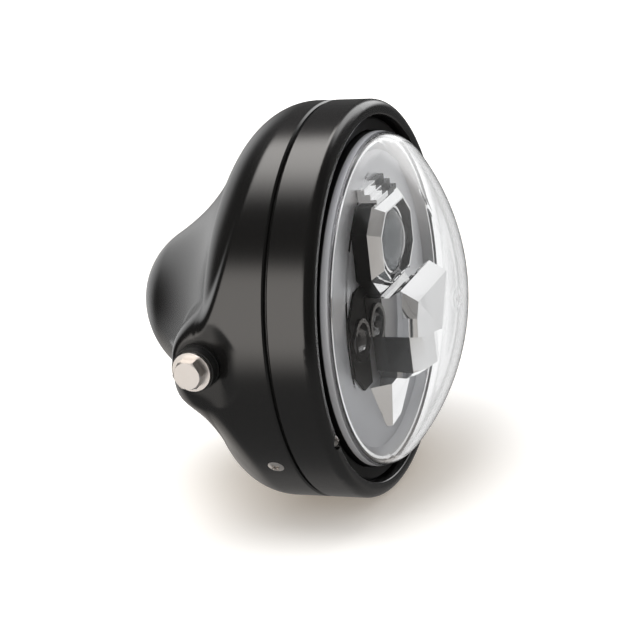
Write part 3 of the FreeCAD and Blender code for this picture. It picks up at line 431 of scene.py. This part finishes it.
def satin_coat():
    paint = Paint("satin_reflector_coat")
    cloud = paint.noise(16.0, 2.0)
    grain = paint.noise(1500.0, 2.0)
    edge = paint.step(paint.from_axis(), PLATE_EDGE_R, PLATE_EDGE_R + PLATE_EDGE_FADE)
    # Painted shade: the plate's colour goes from light at the top to dark at the bottom.
    height = paint.parts(paint.place())[2] + cloud * 0.02
    shade = paint.blend(paint.step(height, *PLATE_PAINTED_SHADE), (0.50, 0.51, 0.535, 1), (0.86, 0.865, 0.88, 1))
    paint.set(Base_Color=paint.blend(edge, shade, grey(0.9)), Metallic=0.55 + edge * 0.45,
              Roughness=(0.30 + cloud * 0.08 + grain * 0.03) * (1 - edge * 0.8),
              Normal=paint.bump(grain, 0.000004))
    return paint.material


MIRROR = mirror_coat("mirror_coat", 0.82, 0.88)
BEZEL_COAT = mirror_coat("bezel_coat", 0.82, 0.88, bezel_inside)
BLOCK_COAT = mirror_coat("block_coat", 0.82, 0.88, block_sides)
RAMP_COAT = mirror_coat("ramp_coat", 0.82, 0.88, ramp_far_half)
SMOKED_MIRROR = mirror_coat("smoked_mirror", 0.10, 0.14)
SATIN_PLATE = satin_coat()
COATS = (MIRROR, BEZEL_COAT, BLOCK_COAT, RAMP_COAT, SMOKED_MIRROR, SATIN_PLATE)
print("coats", [coat.name for coat in COATS])

# %% [markdown]
# Every node takes one finish, as each real piece comes from one bath or one mould. The slots could be
# filled piece by piece, but a table that pairs each finish with its pieces shows at a glance what is
# made of what.

# %% Finishes on the pieces
FINISHES = [
    (BLACK_COAT, ["bucket_shell", "trim_ring"]),
    (ZINC, ["side_washers", "side_bolts", "rim_screws", "rim_nuts", "lip_screws", "lip_nuts",
            "cover_screws"]),
    (DARK_STEEL, ["side_bushes", "rim_lugs", "rim_hook", "carrier_ring"]),
    (CAST_ALUMINIUM, ["lamp_housing", "driver_cover"]),
    (DARK_BARREL, ["projector_barrel", "emitter_board"]),
    (BRASS, ["terminal_blades"]),
    (EMITTER_YELLOW, ["emitter_chip"]),
    (RUBBER, ["cable_grommet", "lens_seal"]),
    (BLACK_RING, ["retaining_ring"]),
    (BLACK_COLLAR, ["side_collars"]),
    (BLACK_PLASTIC, ["terminal_block", "module_frame"]),
    (CLEAR_DOME.material, ["lens_cover"]),
    (PAINTED_DARK_LENS.material, ["projector_glass"]),
    (MIRROR, ["glass_retainer", "centre_beak", "chin"]),
    (BEZEL_COAT, ["projector_bezel"]),
    (BLOCK_COAT, ["lower_block"]),
    (RAMP_COAT, ["top_ramp"]),
    (SMOKED_MIRROR, ["reflector_cups"]),
    (SATIN_PLATE, ["face_plate"]),
]


def dress(node, material):
    slots = NODES[node].data.materials
    slots.clear()
    slots.append(material)


for material, nodes in FINISHES:
    for node in nodes:
        dress(node, material)
print("dressed", sum(len(nodes) for material, nodes in FINISHES), "nodes")

# %% [markdown]
# The bucket is one pressing: a straight wall, a round shoulder, a hollow flank and a round nose. A free
# curve could follow it, but four pieces that meet without a kink keep real radii. The hollow arc touches
# the shoulder and the nose, so its centre lies where two circles cross, and that is worked out once.

# %% Bucket profile
WALL_LENGTH = 0.010
BUCKET_WALL = 0.002
SHOULDER_R = 0.0293
HOLLOW_R = 0.171
NOSE_R = 0.0415
NOSE_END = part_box("bucket_shell")[0][0]
WALL_STEPS = 6
SHOULDER_STEPS = 30
HOLLOW_STEPS = 48
NOSE_STEPS = 24


def on_arc(centre, radius, turn):
    return centre[0] + radius * math.cos(turn), centre[1] + radius * math.sin(turn)


def bucket_arcs():
    """Centres of the shoulder, the hollow and the nose, as places along the axis and radii."""
    shoulder = Vector((SEAM - WALL_LENGTH, RIM_R - SHOULDER_R))
    nose = Vector((NOSE_END + NOSE_R, 0))
    across = shoulder - nose
    from_nose, from_shoulder = NOSE_R + HOLLOW_R, SHOULDER_R + HOLLOW_R
    along = (from_nose ** 2 - from_shoulder ** 2 + across.length_squared) / (2 * across.length)
    aside = math.sqrt(from_nose ** 2 - along ** 2)
    hollow = nose + (across * along + Vector((-across.y, across.x)) * aside) / across.length
    return shoulder, hollow, nose


SHOULDER, HOLLOW, NOSE = bucket_arcs()
SHOULDER_TURN = math.atan2(HOLLOW.y - SHOULDER.y, HOLLOW.x - SHOULDER.x)
NOSE_TURN = math.atan2(HOLLOW.y - NOSE.y, HOLLOW.x - NOSE.x)


def bucket_radius(x):
    if x >= SHOULDER.x:
        return RIM_R
    if x >= on_arc(SHOULDER, SHOULDER_R, SHOULDER_TURN)[0]:
        return SHOULDER.y + math.sqrt(SHOULDER_R ** 2 - (SHOULDER.x - x) ** 2)
    if x >= on_arc(NOSE, NOSE_R, NOSE_TURN)[0]:
        return HOLLOW.y - math.sqrt(HOLLOW_R ** 2 - (x - HOLLOW.x) ** 2)
    return math.sqrt(max(NOSE_R ** 2 - (x - NOSE.x) ** 2, 0.0))


def profile(inset):
    """Places and radii from the front edge to the end of the nose, inside the skin by the inset."""
    points = [(SEAM - WALL_LENGTH * i / WALL_STEPS, RIM_R - inset) for i in range(WALL_STEPS)]
    arcs = [(SHOULDER, SHOULDER_R - inset, math.pi / 2, SHOULDER_TURN, SHOULDER_STEPS),
            (HOLLOW, HOLLOW_R + inset, SHOULDER_TURN - math.pi, NOSE_TURN - math.pi, HOLLOW_STEPS),
            (NOSE, NOSE_R - inset, NOSE_TURN, math.pi, NOSE_STEPS)]
    for centre, radius, start, end, steps in arcs:
        points += [on_arc(centre, radius, start + (end - start) * i / steps) for i in range(steps)]
    return points


print("profile points", len(profile(0)), "shoulder turn", round(math.degrees(SHOULDER_TURN), 1))

# %% [markdown]
# At each side the pressing is drawn out into an ear with a flat pad for the bolt. The ear has a rolled
# edge, and a hollow blend leads down to the flank. Under the ear this blend is much wider, and the
# underside of the bucket sits further back than its top. Pieces joined by a boolean would leave creases,
# so one formula gives the radius at each place and angle, and the skin stays smooth where the forms
# meet.

# %% Ears and underside
EAR_INSET = 0.0025
EAR_REACH = 0.020
EAR_HALF_HEIGHT = 0.024
EAR_FLARE = 0.0091
EAR_ROUND = 0.009
EAR_HOLLOW = 0.007
EAR_UNDER = 0.022
EAR_RAMP = 0.018
BACK_TOP = -0.002
BACK_LOW = 0.0085
BACK_FADE = 0.045
GROMMET = (Vector(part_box("cable_grommet")[0]) + Vector(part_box("cable_grommet")[1])) / 2
GROMMET_CLEAR = 0.013
GROMMET_FADE = 0.014


def smooth(share):
    share = min(max(share, 0.0), 1.0)
    return share * share * (3 - 2 * share)


def set_back(x, angle):
    """How far the flank is moved back: more at the bottom, nothing at the nose and round the grommet."""
    low = (1 - math.sin(angle)) / 2
    radius = bucket_radius(x)
    place = Vector((x, radius * math.cos(angle), radius * math.sin(angle)))
    clear = smooth(((place - GROMMET).length - GROMMET_CLEAR) / GROMMET_FADE)
    return (BACK_TOP + (BACK_LOW - BACK_TOP) * low) * smooth((x - NOSE_END) / BACK_FADE) * clear


def ear_share(x, z):
    """1 on the pad, 0 beyond the hollow blend."""
    if x < 0:
        inside = math.hypot(x / EAR_REACH, z / EAR_HALF_HEIGHT)
        beyond = (inside - 1) * (EAR_REACH + EAR_HALF_HEIGHT) / 2
    else:
        beyond = abs(z) - EAR_HALF_HEIGHT - x * x / EAR_FLARE
    blend = EAR_HOLLOW + EAR_UNDER * smooth(-z / EAR_HALF_HEIGHT)
    return smooth((blend - beyond) / (EAR_ROUND + blend))


def skin_radius(x, angle):
    body = bucket_radius(x + set_back(x, angle))
    ramp = smooth((x - SHOULDER.x + EAR_RAMP) / EAR_RAMP)
    pad = RIM_R - EAR_INSET + EAR_INSET * ramp
    wall = RIM_R
    if abs(math.cos(angle)) * RIM_R > pad:
        wall = pad / abs(math.cos(angle))
    return body + max(wall - body, 0.0) * ear_share(x, wall * math.sin(angle))


print("ear pad at", round(skin_radius(0, 0), 4), "underside at", round(skin_radius(0, -math.pi / 2), 4))

# %% [markdown]
# A turned or pressed form is a stack of rings. Blender's own cylinders and lathe tool would need an
# operator for each piece. One helper that joins ring to ring, and closes an end where a ring is a single
# point, makes the bucket, its hole cutters and the screws.

# %% Skins from rings
CREASE = math.radians(38)
ROD_COLUMNS = 48


def skin(rings):
    """Points and faces of a closed skin through rings, each a list of points or one point."""
    points, faces, starts = [], [], []
    for ring in rings:
        starts.append(len(points))
        points.extend(ring)
    for k, ring in enumerate(rings):
        follow = (k + 1) % len(rings)
        after = rings[follow]
        count = max(len(ring), len(after))
        for j in range(count if count > 1 else 0):
            n = (j + 1) % count
            corners = [starts[k] + j % len(ring), starts[follow] + j % len(after),
                       starts[follow] + n % len(after), starts[k] + n % len(ring)]
            faces.append(list(dict.fromkeys(corners)))
    return points, faces


def soften(mesh):
    mesh.shade_smooth()
    mesh.set_sharp_from_angle(angle=CREASE)


def new_piece(name, solids, material):
    """One object from the points and faces of one or more solids."""
    points, faces = [], []
    for some_points, some_faces in solids:
        faces += [[len(points) + corner for corner in face] for face in some_faces]
        points += some_points
    mesh = bpy.data.meshes.new(name)
    mesh.from_pydata(points, [], faces)
    mesh.materials.append(material)
    soften(mesh)
    piece = bpy.data.objects.new(name, mesh)
    bpy.context.scene.collection.objects.link(piece)
    return piece


def turns(columns):
    return [2 * math.pi * j / columns for j in range(columns)]


def turned_rod(matrix, outline):
    """Solid turned about the Z axis of a matrix, from (height, radius) pairs, top first."""
    rings = []
    for height, radius in outline:
        angles = turns(ROD_COLUMNS) if radius else [0.0]
        rings.append([matrix @ Vector((radius * math.cos(a), radius * math.sin(a), height)) for a in angles])
    return skin(rings)


def axis_at(place, way):
    """Matrix at a place, with its Z axis along a way."""
    return Matrix.Translation(place) @ Vector(way).to_track_quat("Z", "Y").to_matrix().to_4x4()


print("crease", round(math.degrees(CREASE)), "degrees")

# %% [markdown]
# The bucket's outside follows the formula, and its inside is the turned profile, one wall thinner. A
# solidify modifier could give the wall, but it would copy the ears to the inside too. The columns stand
# closer together at the ears, where the form changes fast.

# %% Pressed bucket
COLUMNS = 240
CROWDING = 0.55
EDGE_CHAMFER = 0.0008


def ring_angles():
    evenly = [2 * math.pi * (j + 0.5) / COLUMNS for j in range(COLUMNS)]
    return [turn - CROWDING * math.sin(2 * turn) / 2 for turn in evenly]


def bucket_ring(x, radius_at):
    ring = []
    for angle in ring_angles():
        radius = radius_at(angle)
        ring.append(Vector((x, radius * math.cos(angle), radius * math.sin(angle))))
    return ring


def bucket_rings():
    rings = [bucket_ring(SEAM, lambda angle: RIM_R - EDGE_CHAMFER)]
    rings.append(bucket_ring(SEAM - EDGE_CHAMFER, lambda angle: RIM_R))
    for x, turned_radius in profile(0)[1:]:
        rings.append(bucket_ring(x, lambda angle: skin_radius(x, angle)))
    rings.append([Vector((NOSE_END, 0, 0))])
    rings.append([Vector((NOSE_END + BUCKET_WALL, 0, 0))])
    for x, turned_radius in reversed(profile(BUCKET_WALL)):
        rings.append(bucket_ring(x, lambda angle: turned_radius))
    return rings


bucket = new_piece("pressed_bucket", [skin(bucket_rings())], BLACK_COAT)
print("bucket faces", len(bucket.data.polygons))

# %% [markdown]
# Holes are cut as on the real pressing: a bore and a shallow seat in each ear, two countersunk holes for
# the trim ring's screws, and the cable inlet. They could be left out of the rings, but a boolean cut
# with turned rods gives clean round edges anywhere on the skin. The cutters are removed after the cut.

# %% Holes in the bucket
EAR_BORE_R = 0.00703
EAR_SEAT_R = 0.0115
EAR_SEAT_DEPTH = 0.0003
EAR_SEAT = RIM_R - EAR_INSET - EAR_SEAT_DEPTH
EAR_CUT = (0.12, 0.02)
RIM_SCREW_DROP = math.radians(35)
RIM_SCREW_X = (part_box("rim_screws")[0][0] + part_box("rim_screws")[1][0]) / 2
RIM_HEAD_R = 0.004
RIM_SCREW_R = 0.002
RIM_CUT = (0.11, 0.09)
RIM_HOLE_GAP = 0.0003
RIM_HOLE_R = RIM_SCREW_R + RIM_HOLE_GAP
COUNTERSINK = 0.0017
INLET_R = 0.007
INLET_TURN = SHOULDER_TURN - math.pi - math.radians(6)
INLET_CUT = (0.01, -0.01)


def side_ways(drop):
    """Directions out to both sides, turned down by an angle."""
    return [Vector((0, side * math.cos(drop), -math.sin(drop))) for side in (-1, 1)]


def stepped_rod(matrix, ends, steps):
    """Rod between two heights, with (height, radius) steps on the way from its first radius to its last."""
    top, bottom = ends
    outline = [(top, 0), (top, steps[0][1])] + steps + [(bottom, steps[-1][1]), (bottom, 0)]
    return turned_rod(matrix, outline)


def hole_cutters():
    solids = []
    for way in side_ways(0):
        solids.append(stepped_rod(axis_at((0, 0, 0), way), EAR_CUT,
                                  [(EAR_SEAT, EAR_SEAT_R), (EAR_SEAT, EAR_BORE_R)]))
    for way in side_ways(RIM_SCREW_DROP):
        solids.append(stepped_rod(axis_at((RIM_SCREW_X, 0, 0), way), RIM_CUT,
                                  [(RIM_R, RIM_HEAD_R), (RIM_R - COUNTERSINK, RIM_HOLE_R)]))
    x, radius = on_arc(HOLLOW, HOLLOW_R, INLET_TURN)
    way_out = (-math.cos(INLET_TURN), 0, math.sin(INLET_TURN))
    top, bottom = INLET_CUT
    solids.append(turned_rod(axis_at((x, 0, -radius), way_out),
                             [(top, 0), (top, INLET_R), (bottom, INLET_R), (bottom, 0)]))
    return solids


def cut_holes(piece, solids):
    cutter = new_piece("hole_cutter", solids, BLACK_COAT)
    cut = piece.modifiers.new("holes", "BOOLEAN")
    cut.object = cutter
    cut.operation = "DIFFERENCE"
    whole = piece.evaluated_get(bpy.context.evaluated_depsgraph_get())
    mesh = bpy.data.meshes.new_from_object(whole)
    piece.modifiers.clear()
    piece.data = mesh
    soften(mesh)
    bpy.data.objects.remove(cutter)


cut_holes(bucket, hole_cutters())
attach(bucket, "root")
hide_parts("bucket_shell")
print("bucket with holes", len(bucket.data.polygons))

# %% [markdown]
# The screws have a cross recess and a thread. A cross could be cut by a boolean, but its sloping walls,
# as a driver leaves them, come easily from rings whose height dips inside the cross. The thread is a
# ridge that climbs by one pitch a turn.

# %% Cross-head screws
SCREW_COLUMNS = 72
HEAD_RINGS = 30
PITCH = 0.0007
ROWS_PER_PITCH = 4
THREAD_DEPTH = 0.00035
RECESS_SLOPE = 0.00035


def cross_depth(u, v, recess):
    arm, width, depth = recess
    across = min(width - abs(v), arm - abs(u))
    upright = min(width - abs(u), arm - abs(v))
    return depth * smooth(max(across, upright) / RECESS_SLOPE)


def head_ring(radius, head_r, dome, recess):
    top = dome * (1 - (radius / head_r) ** 2)
    ring = []
    for angle in turns(SCREW_COLUMNS):
        u, v = radius * math.cos(angle), radius * math.sin(angle)
        ring.append(Vector((u, v, top - cross_depth(u, v, recess))))
    return ring


def thread_ring(z, shank_r):
    ring = []
    for angle in turns(SCREW_COLUMNS):
        climb = (z / PITCH - angle / (2 * math.pi)) % 1
        radius = shank_r - THREAD_DEPTH * abs(2 * climb - 1)
        ring.append(Vector((radius * math.cos(angle), radius * math.sin(angle), z)))
    return ring


def screw(matrix, head_r, dome, shank_r, length, cone, recess):
    """Screw along -Z from its head, whose edge lies at height 0. The recess is arm, half width and depth."""
    rings = [[Vector((0, 0, dome - recess[2]))]]
    for k in range(1, HEAD_RINGS + 1):
        rings.append(head_ring(head_r * k / HEAD_RINGS, head_r, dome, recess))
    rows = int((length - cone) / PITCH * ROWS_PER_PITCH)
    for k in range(rows + 1):
        rings.append(thread_ring(-cone - (length - cone) * k / rows, shank_r))
    rings.append([Vector((0, 0, -length))])
    return skin([[matrix @ point for point in ring] for ring in rings])


print("screw rings have", SCREW_COLUMNS, "points, and a turn of thread has", ROWS_PER_PITCH, "rings")

# %% [markdown]
# Two countersunk screws hold the trim ring to the bucket, and two with round heads hold the insert to
# the lip. The plain solids could stay, but from a step away a screw is known by its recess. Each new
# pair stands where the solids stand and takes their place.

# %% Screws of the rim and the lip
RIM_HEAD_DOME = 0.0009
RIM_SCREW_LENGTH = 0.013
RIM_RECESS = (0.0024, 0.0007, 0.0016)
RIM_RECESS_TURN = 0.5
LIP_SCREW_DROP = math.radians(27)
LIP_SCREW_R = 0.002
LIP_HEAD_R = 0.0035
LIP_HEAD_HEIGHT = 0.0028
LIP_PITCH_R = 0.093
LIP_RECESS = (0.0021, 0.0006, 0.0018)
LIP_RECESS_TURN = 0.4
FLAT_UNDER_HEAD = 0.00001


def rim_screw(way):
    matrix = axis_at(Vector((RIM_SCREW_X, 0, 0)) + way * RIM_R, way)
    return screw(matrix @ Matrix.Rotation(RIM_RECESS_TURN, 4, "Z"), RIM_HEAD_R, RIM_HEAD_DOME, RIM_SCREW_R,
                 RIM_SCREW_LENGTH, RIM_HEAD_R - RIM_SCREW_R, RIM_RECESS)


def lip_screw(way):
    back, front = (corner[0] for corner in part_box("lip_screws"))
    seat = front - LIP_HEAD_HEIGHT
    matrix = axis_at(Vector((seat, 0, 0)) + way * LIP_PITCH_R, (1, 0, 0))
    return screw(matrix @ Matrix.Rotation(LIP_RECESS_TURN, 4, "Z"), LIP_HEAD_R, LIP_HEAD_HEIGHT, LIP_SCREW_R,
                 seat - back, FLAT_UNDER_HEAD, LIP_RECESS)


SCREWS = [("rim_screws", rim_screw, RIM_SCREW_DROP), ("lip_screws", lip_screw, LIP_SCREW_DROP)]
for name, maker, drop in SCREWS:
    pair = new_piece("cross_" + name, [maker(way) for way in side_ways(drop)], ZINC)
    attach(pair, "root")
    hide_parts(name)
    print(pair.name, len(pair.data.polygons), "faces")

# %% [markdown]
# No moulded edge is perfectly sharp. The facets could be modelled again with round edges, but a bevel
# modifier does it on the solid as it is. The narrow bevel catches a thin line of light, as the edges of
# the real insert do.

# %% Soft edges
SOFT_EDGES = {"projector_bezel": 0.0005, "centre_beak": 0.0004, "lower_block": 0.0004, "chin": 0.0004,
              "top_ramp": 0.0003}
WELD_GAP = 0.00001
BEVEL_SEGMENTS = 2
SOFT_ANGLE = math.radians(25)


def soften_edges(node, width):
    weld = NODES[node].modifiers.new("joined", "WELD")
    weld.merge_threshold = WELD_GAP
    bevel = NODES[node].modifiers.new("soft_edge", "BEVEL")
    bevel.width = width
    bevel.segments = BEVEL_SEGMENTS
    bevel.limit_method = "ANGLE"
    bevel.angle_limit = SOFT_ANGLE
    bevel.harden_normals = True


for node, width in SOFT_EDGES.items():
    soften_edges(node, width)
print("soft edges on", len(SOFT_EDGES), "nodes")

# %% [markdown]
# The lamp rests on a white sweep, a sheet of paper that is lit until it turns white. More lights would do
# that here too, but they would also flood the paint. So the floor adds light of its own where the camera
# looks at it: little and warm near the lamp, which paints a warm shadow there, and more further away. The
# lamp's own shadow stays.

# %% White sweep
SWEEP = 6.0
SWEEP_PAPER = (0.86, 0.83, 0.79, 1)
SHADOW_MIDDLE = (0.015, 0.01, 0)
SHADOW_FADE = (0.03, 0.13)
HORIZON_FADE = (0.3, 1.2)
NEAR_GLOW = (0.27, 0.235, 0.195, 1)
MIDDLE_GLOW = grey(0.52)
FAR_GLOW = grey(1.0)


def sweep_paper():
    paint = Paint("sweep_white")
    seen = paint.node("ShaderNodeLightPath", out="Is Camera Ray")
    flat = paint.vector("MULTIPLY", paint.place(), (1, 1, 0))
    away = paint.vector("DISTANCE", flat, SHADOW_MIDDLE, out="Value")
    # Painted shadow: the glow is low and warm round the lamp and rises further away.
    glow = paint.blend(paint.step(away, *SHADOW_FADE), NEAR_GLOW, MIDDLE_GLOW)
    glow = paint.blend(paint.step(away, *HORIZON_FADE), glow, FAR_GLOW)
    glow = paint.blend(seen, grey(0), glow)
    paint.set(Base_Color=SWEEP_PAPER, Roughness=0.9, Emission_Color=glow, Emission_Strength=1.0)
    return paint.material


def white_sweep():
    mesh = bpy.data.meshes.new("white_sweep")
    corners = [(-SWEEP, -SWEEP), (SWEEP, -SWEEP), (SWEEP, SWEEP), (-SWEEP, SWEEP)]
    mesh.from_pydata([(x, y, FLOOR_Z) for x, y in corners], [], [(0, 1, 2, 3)])
    mesh.materials.append(sweep_paper())
    sweep = bpy.data.objects.new("white_sweep", mesh)
    bpy.context.scene.collection.objects.link(sweep)
    sweep.visible_glossy = False
    sweep.visible_transmission = False
    return sweep


sweep = white_sweep()
print("sweep at", round(sweep.data.vertices[0].co.z, 4))

# %% [markdown]
# Black paint and bright metal show the room that they stand in. Panels on stands could make that room,
# but they would stand in the way of other views, so it is painted on the world, by direction. Three
# numbers tell where a ray goes: ahead of the lamp, away from the camera and up.

# %% Empty world


def empty_world():
    world = bpy.data.worlds.new("studio_room")
    bpy.context.scene.world = world
    world.use_nodes = True
    return NodeTree(world.node_tree)


studio = empty_world()
DIRECTIONS = studio.parts(studio.node("ShaderNodeTexCoord", out="Generated"))
print("world", bpy.context.scene.world.name, "with", len(DIRECTIONS), "directions")

# %% [markdown]
# The paint shows a big soft box overhead, a dim panel on the left of the camera, the lit wall at the
# back left and the floor. A bright strip behind gives the dome its sheen. The rest is kept dark, because
# a light room all round would turn the black into grey. Each field has soft edges, so it is a product of
# gentle steps.

# %% Room that the paint shows


def room_outside(room, ahead, away, up):
    sweep = room.step(away, 0.25, 0.6)
    panel = (room.step(up, -0.45, -0.12) * (1 - room.step(up, 0.45, 0.62)) * room.step(-away, 0.25, 0.5)
             * (1 - room.step(ahead, -0.1, 0.15)) * room.step(ahead, -0.7, -0.5))
    overhead = (room.step(up, 0.74, 0.84) * (1 - room.step(ahead, -0.15, 0.05))
                * room.step(ahead, -0.62, -0.36) * room.step(away, -0.32, 0.18))
    back_wall = (room.step(-ahead, 0.38, 0.68) * room.step(away, 0.1, 0.5)
                 * room.step(up, -0.5, -0.25) * (1 - room.step(up, 0.25, 0.55)))
    sheen = (room.step(up, -0.05, 0.15) * room.step(away, 0.4, 0.6)
             * room.step(ahead, -0.12, 0.05) * (1 - room.step(ahead, 0.35, 0.5)))
    below = room.step(-up, 0.1, 0.4)
    lit_floor = (room.step(-up, 0.34, 0.5) * room.step(away - ahead * 0.5, 0.1, 0.5)
                 * (0.25 + 0.75 * room.step(-ahead, 0.4, 0.58)))
    view = room.blend(below, grey(0.03), grey(0.2))
    view = room.blend(sweep, view, grey(0.12))
    view = room.blend(lit_floor, view, grey(0.6, 0.05))
    view = room.blend(sheen, view, grey(2.6))
    view = room.blend(panel, view, grey(2.2, 0.05))
    view = room.blend(overhead, view, grey(4.6, 0.03))
    return room.blend(back_wall, view, grey(0.85))


outside = room_outside(studio, *DIRECTIONS)
print("room outside the dome:", len(studio.tree.nodes), "nodes so far")

# %% [markdown]
# The mirrors inside the dome show another part of the studio: the white sweep behind, the dim wall round
# the camera, a dark corner and the warm table in front. One room for both would make either the paint
# too bright or the mirrors too dull, so rays that have gone through the dome get a room of their own.

# %% Room that the mirrors show


def room_inside(room, ahead, away, up):
    behind = room.step(away - room.step(up, 0, 0.3) * 0.21, 0.04, 0.16)
    table = room.step(-up, 0.05, 0.3)
    corner = room.step(ahead, 0.6, 0.72) * room.step(-away, 0.2, 0.34)
    front = room.blend(table, grey(0.25, 0.04), grey(0.48, 0.05))
    front = room.blend(corner, front, grey(0.06))
    lower_right = room.step(ahead, 0.1, 0.35) * (1 - room.step(up, -0.1, 0.25))
    sweep = room.blend(lower_right, grey(1.15), grey(0.85))
    view = room.blend(behind, front, sweep)
    view = room.blend(room.step(-up, 0.58, 0.7), view, grey(0.5, 0.05))
    return room.blend(room.step(up, 0.72, 0.84), view, grey(1.2))


inside = room_inside(studio, *DIRECTIONS)
print("room inside the dome:", len(studio.tree.nodes), "nodes so far")

# %% [markdown]
# The world joins the rooms. Light Path tells what kind of ray asks: the camera sees plain white, a
# reflection sees the room outside, a ray through the dome sees the room inside, and all other rays get
# an even light. Lamps could give that light too, but they would add shadows of their own.

# %% Joined rooms
ROOM_LIGHT = 0.55


def join_rooms(room):
    camera_ray = room.node("ShaderNodeLightPath", out="Is Camera Ray")
    rays = camera_ray.socket.node.outputs
    reflected = Flow(room, rays["Is Glossy Ray"])
    through = Flow(room, rays["Is Transmission Ray"])
    seen = room.blend(reflected, grey(ROOM_LIGHT), outside)
    seen = room.blend(through, seen, inside)
    background = room.tree.nodes["Background"]
    room.put(background.inputs["Color"], room.blend(camera_ray, seen, grey(1.0)))


join_rooms(studio)
print("joined rooms:", len(studio.tree.nodes), "nodes")

# %% [markdown]
# One wide soft box above the lamp makes the shadow on the sweep. A small or distant light would draw a
# hard edge. The box is hidden from reflections, because the room already holds the picture of it.

# %% Soft box
BOX_PLACE = Vector((-0.1, -0.3, 1.1))
BOX_SIZE = (0.8, 0.7)
BOX_POWER = 9.0


def soft_box(name):
    data = bpy.data.lights.new(name, "AREA")
    data.shape = "RECTANGLE"
    data.size, data.size_y = BOX_SIZE
    data.energy = BOX_POWER
    lamp = bpy.data.objects.new(name, data)
    lamp.location = BOX_PLACE
    lamp.rotation_euler = (-BOX_PLACE).to_track_quat("-Z", "Y").to_euler()
    lamp.visible_glossy = False
    bpy.context.scene.collection.objects.link(lamp)
    return lamp


box_above = soft_box("box_above")
bpy.context.scene.view_settings.view_transform = "Standard"
print("soft box", box_above.name, "at", round(BOX_PLACE.length, 2), "m")
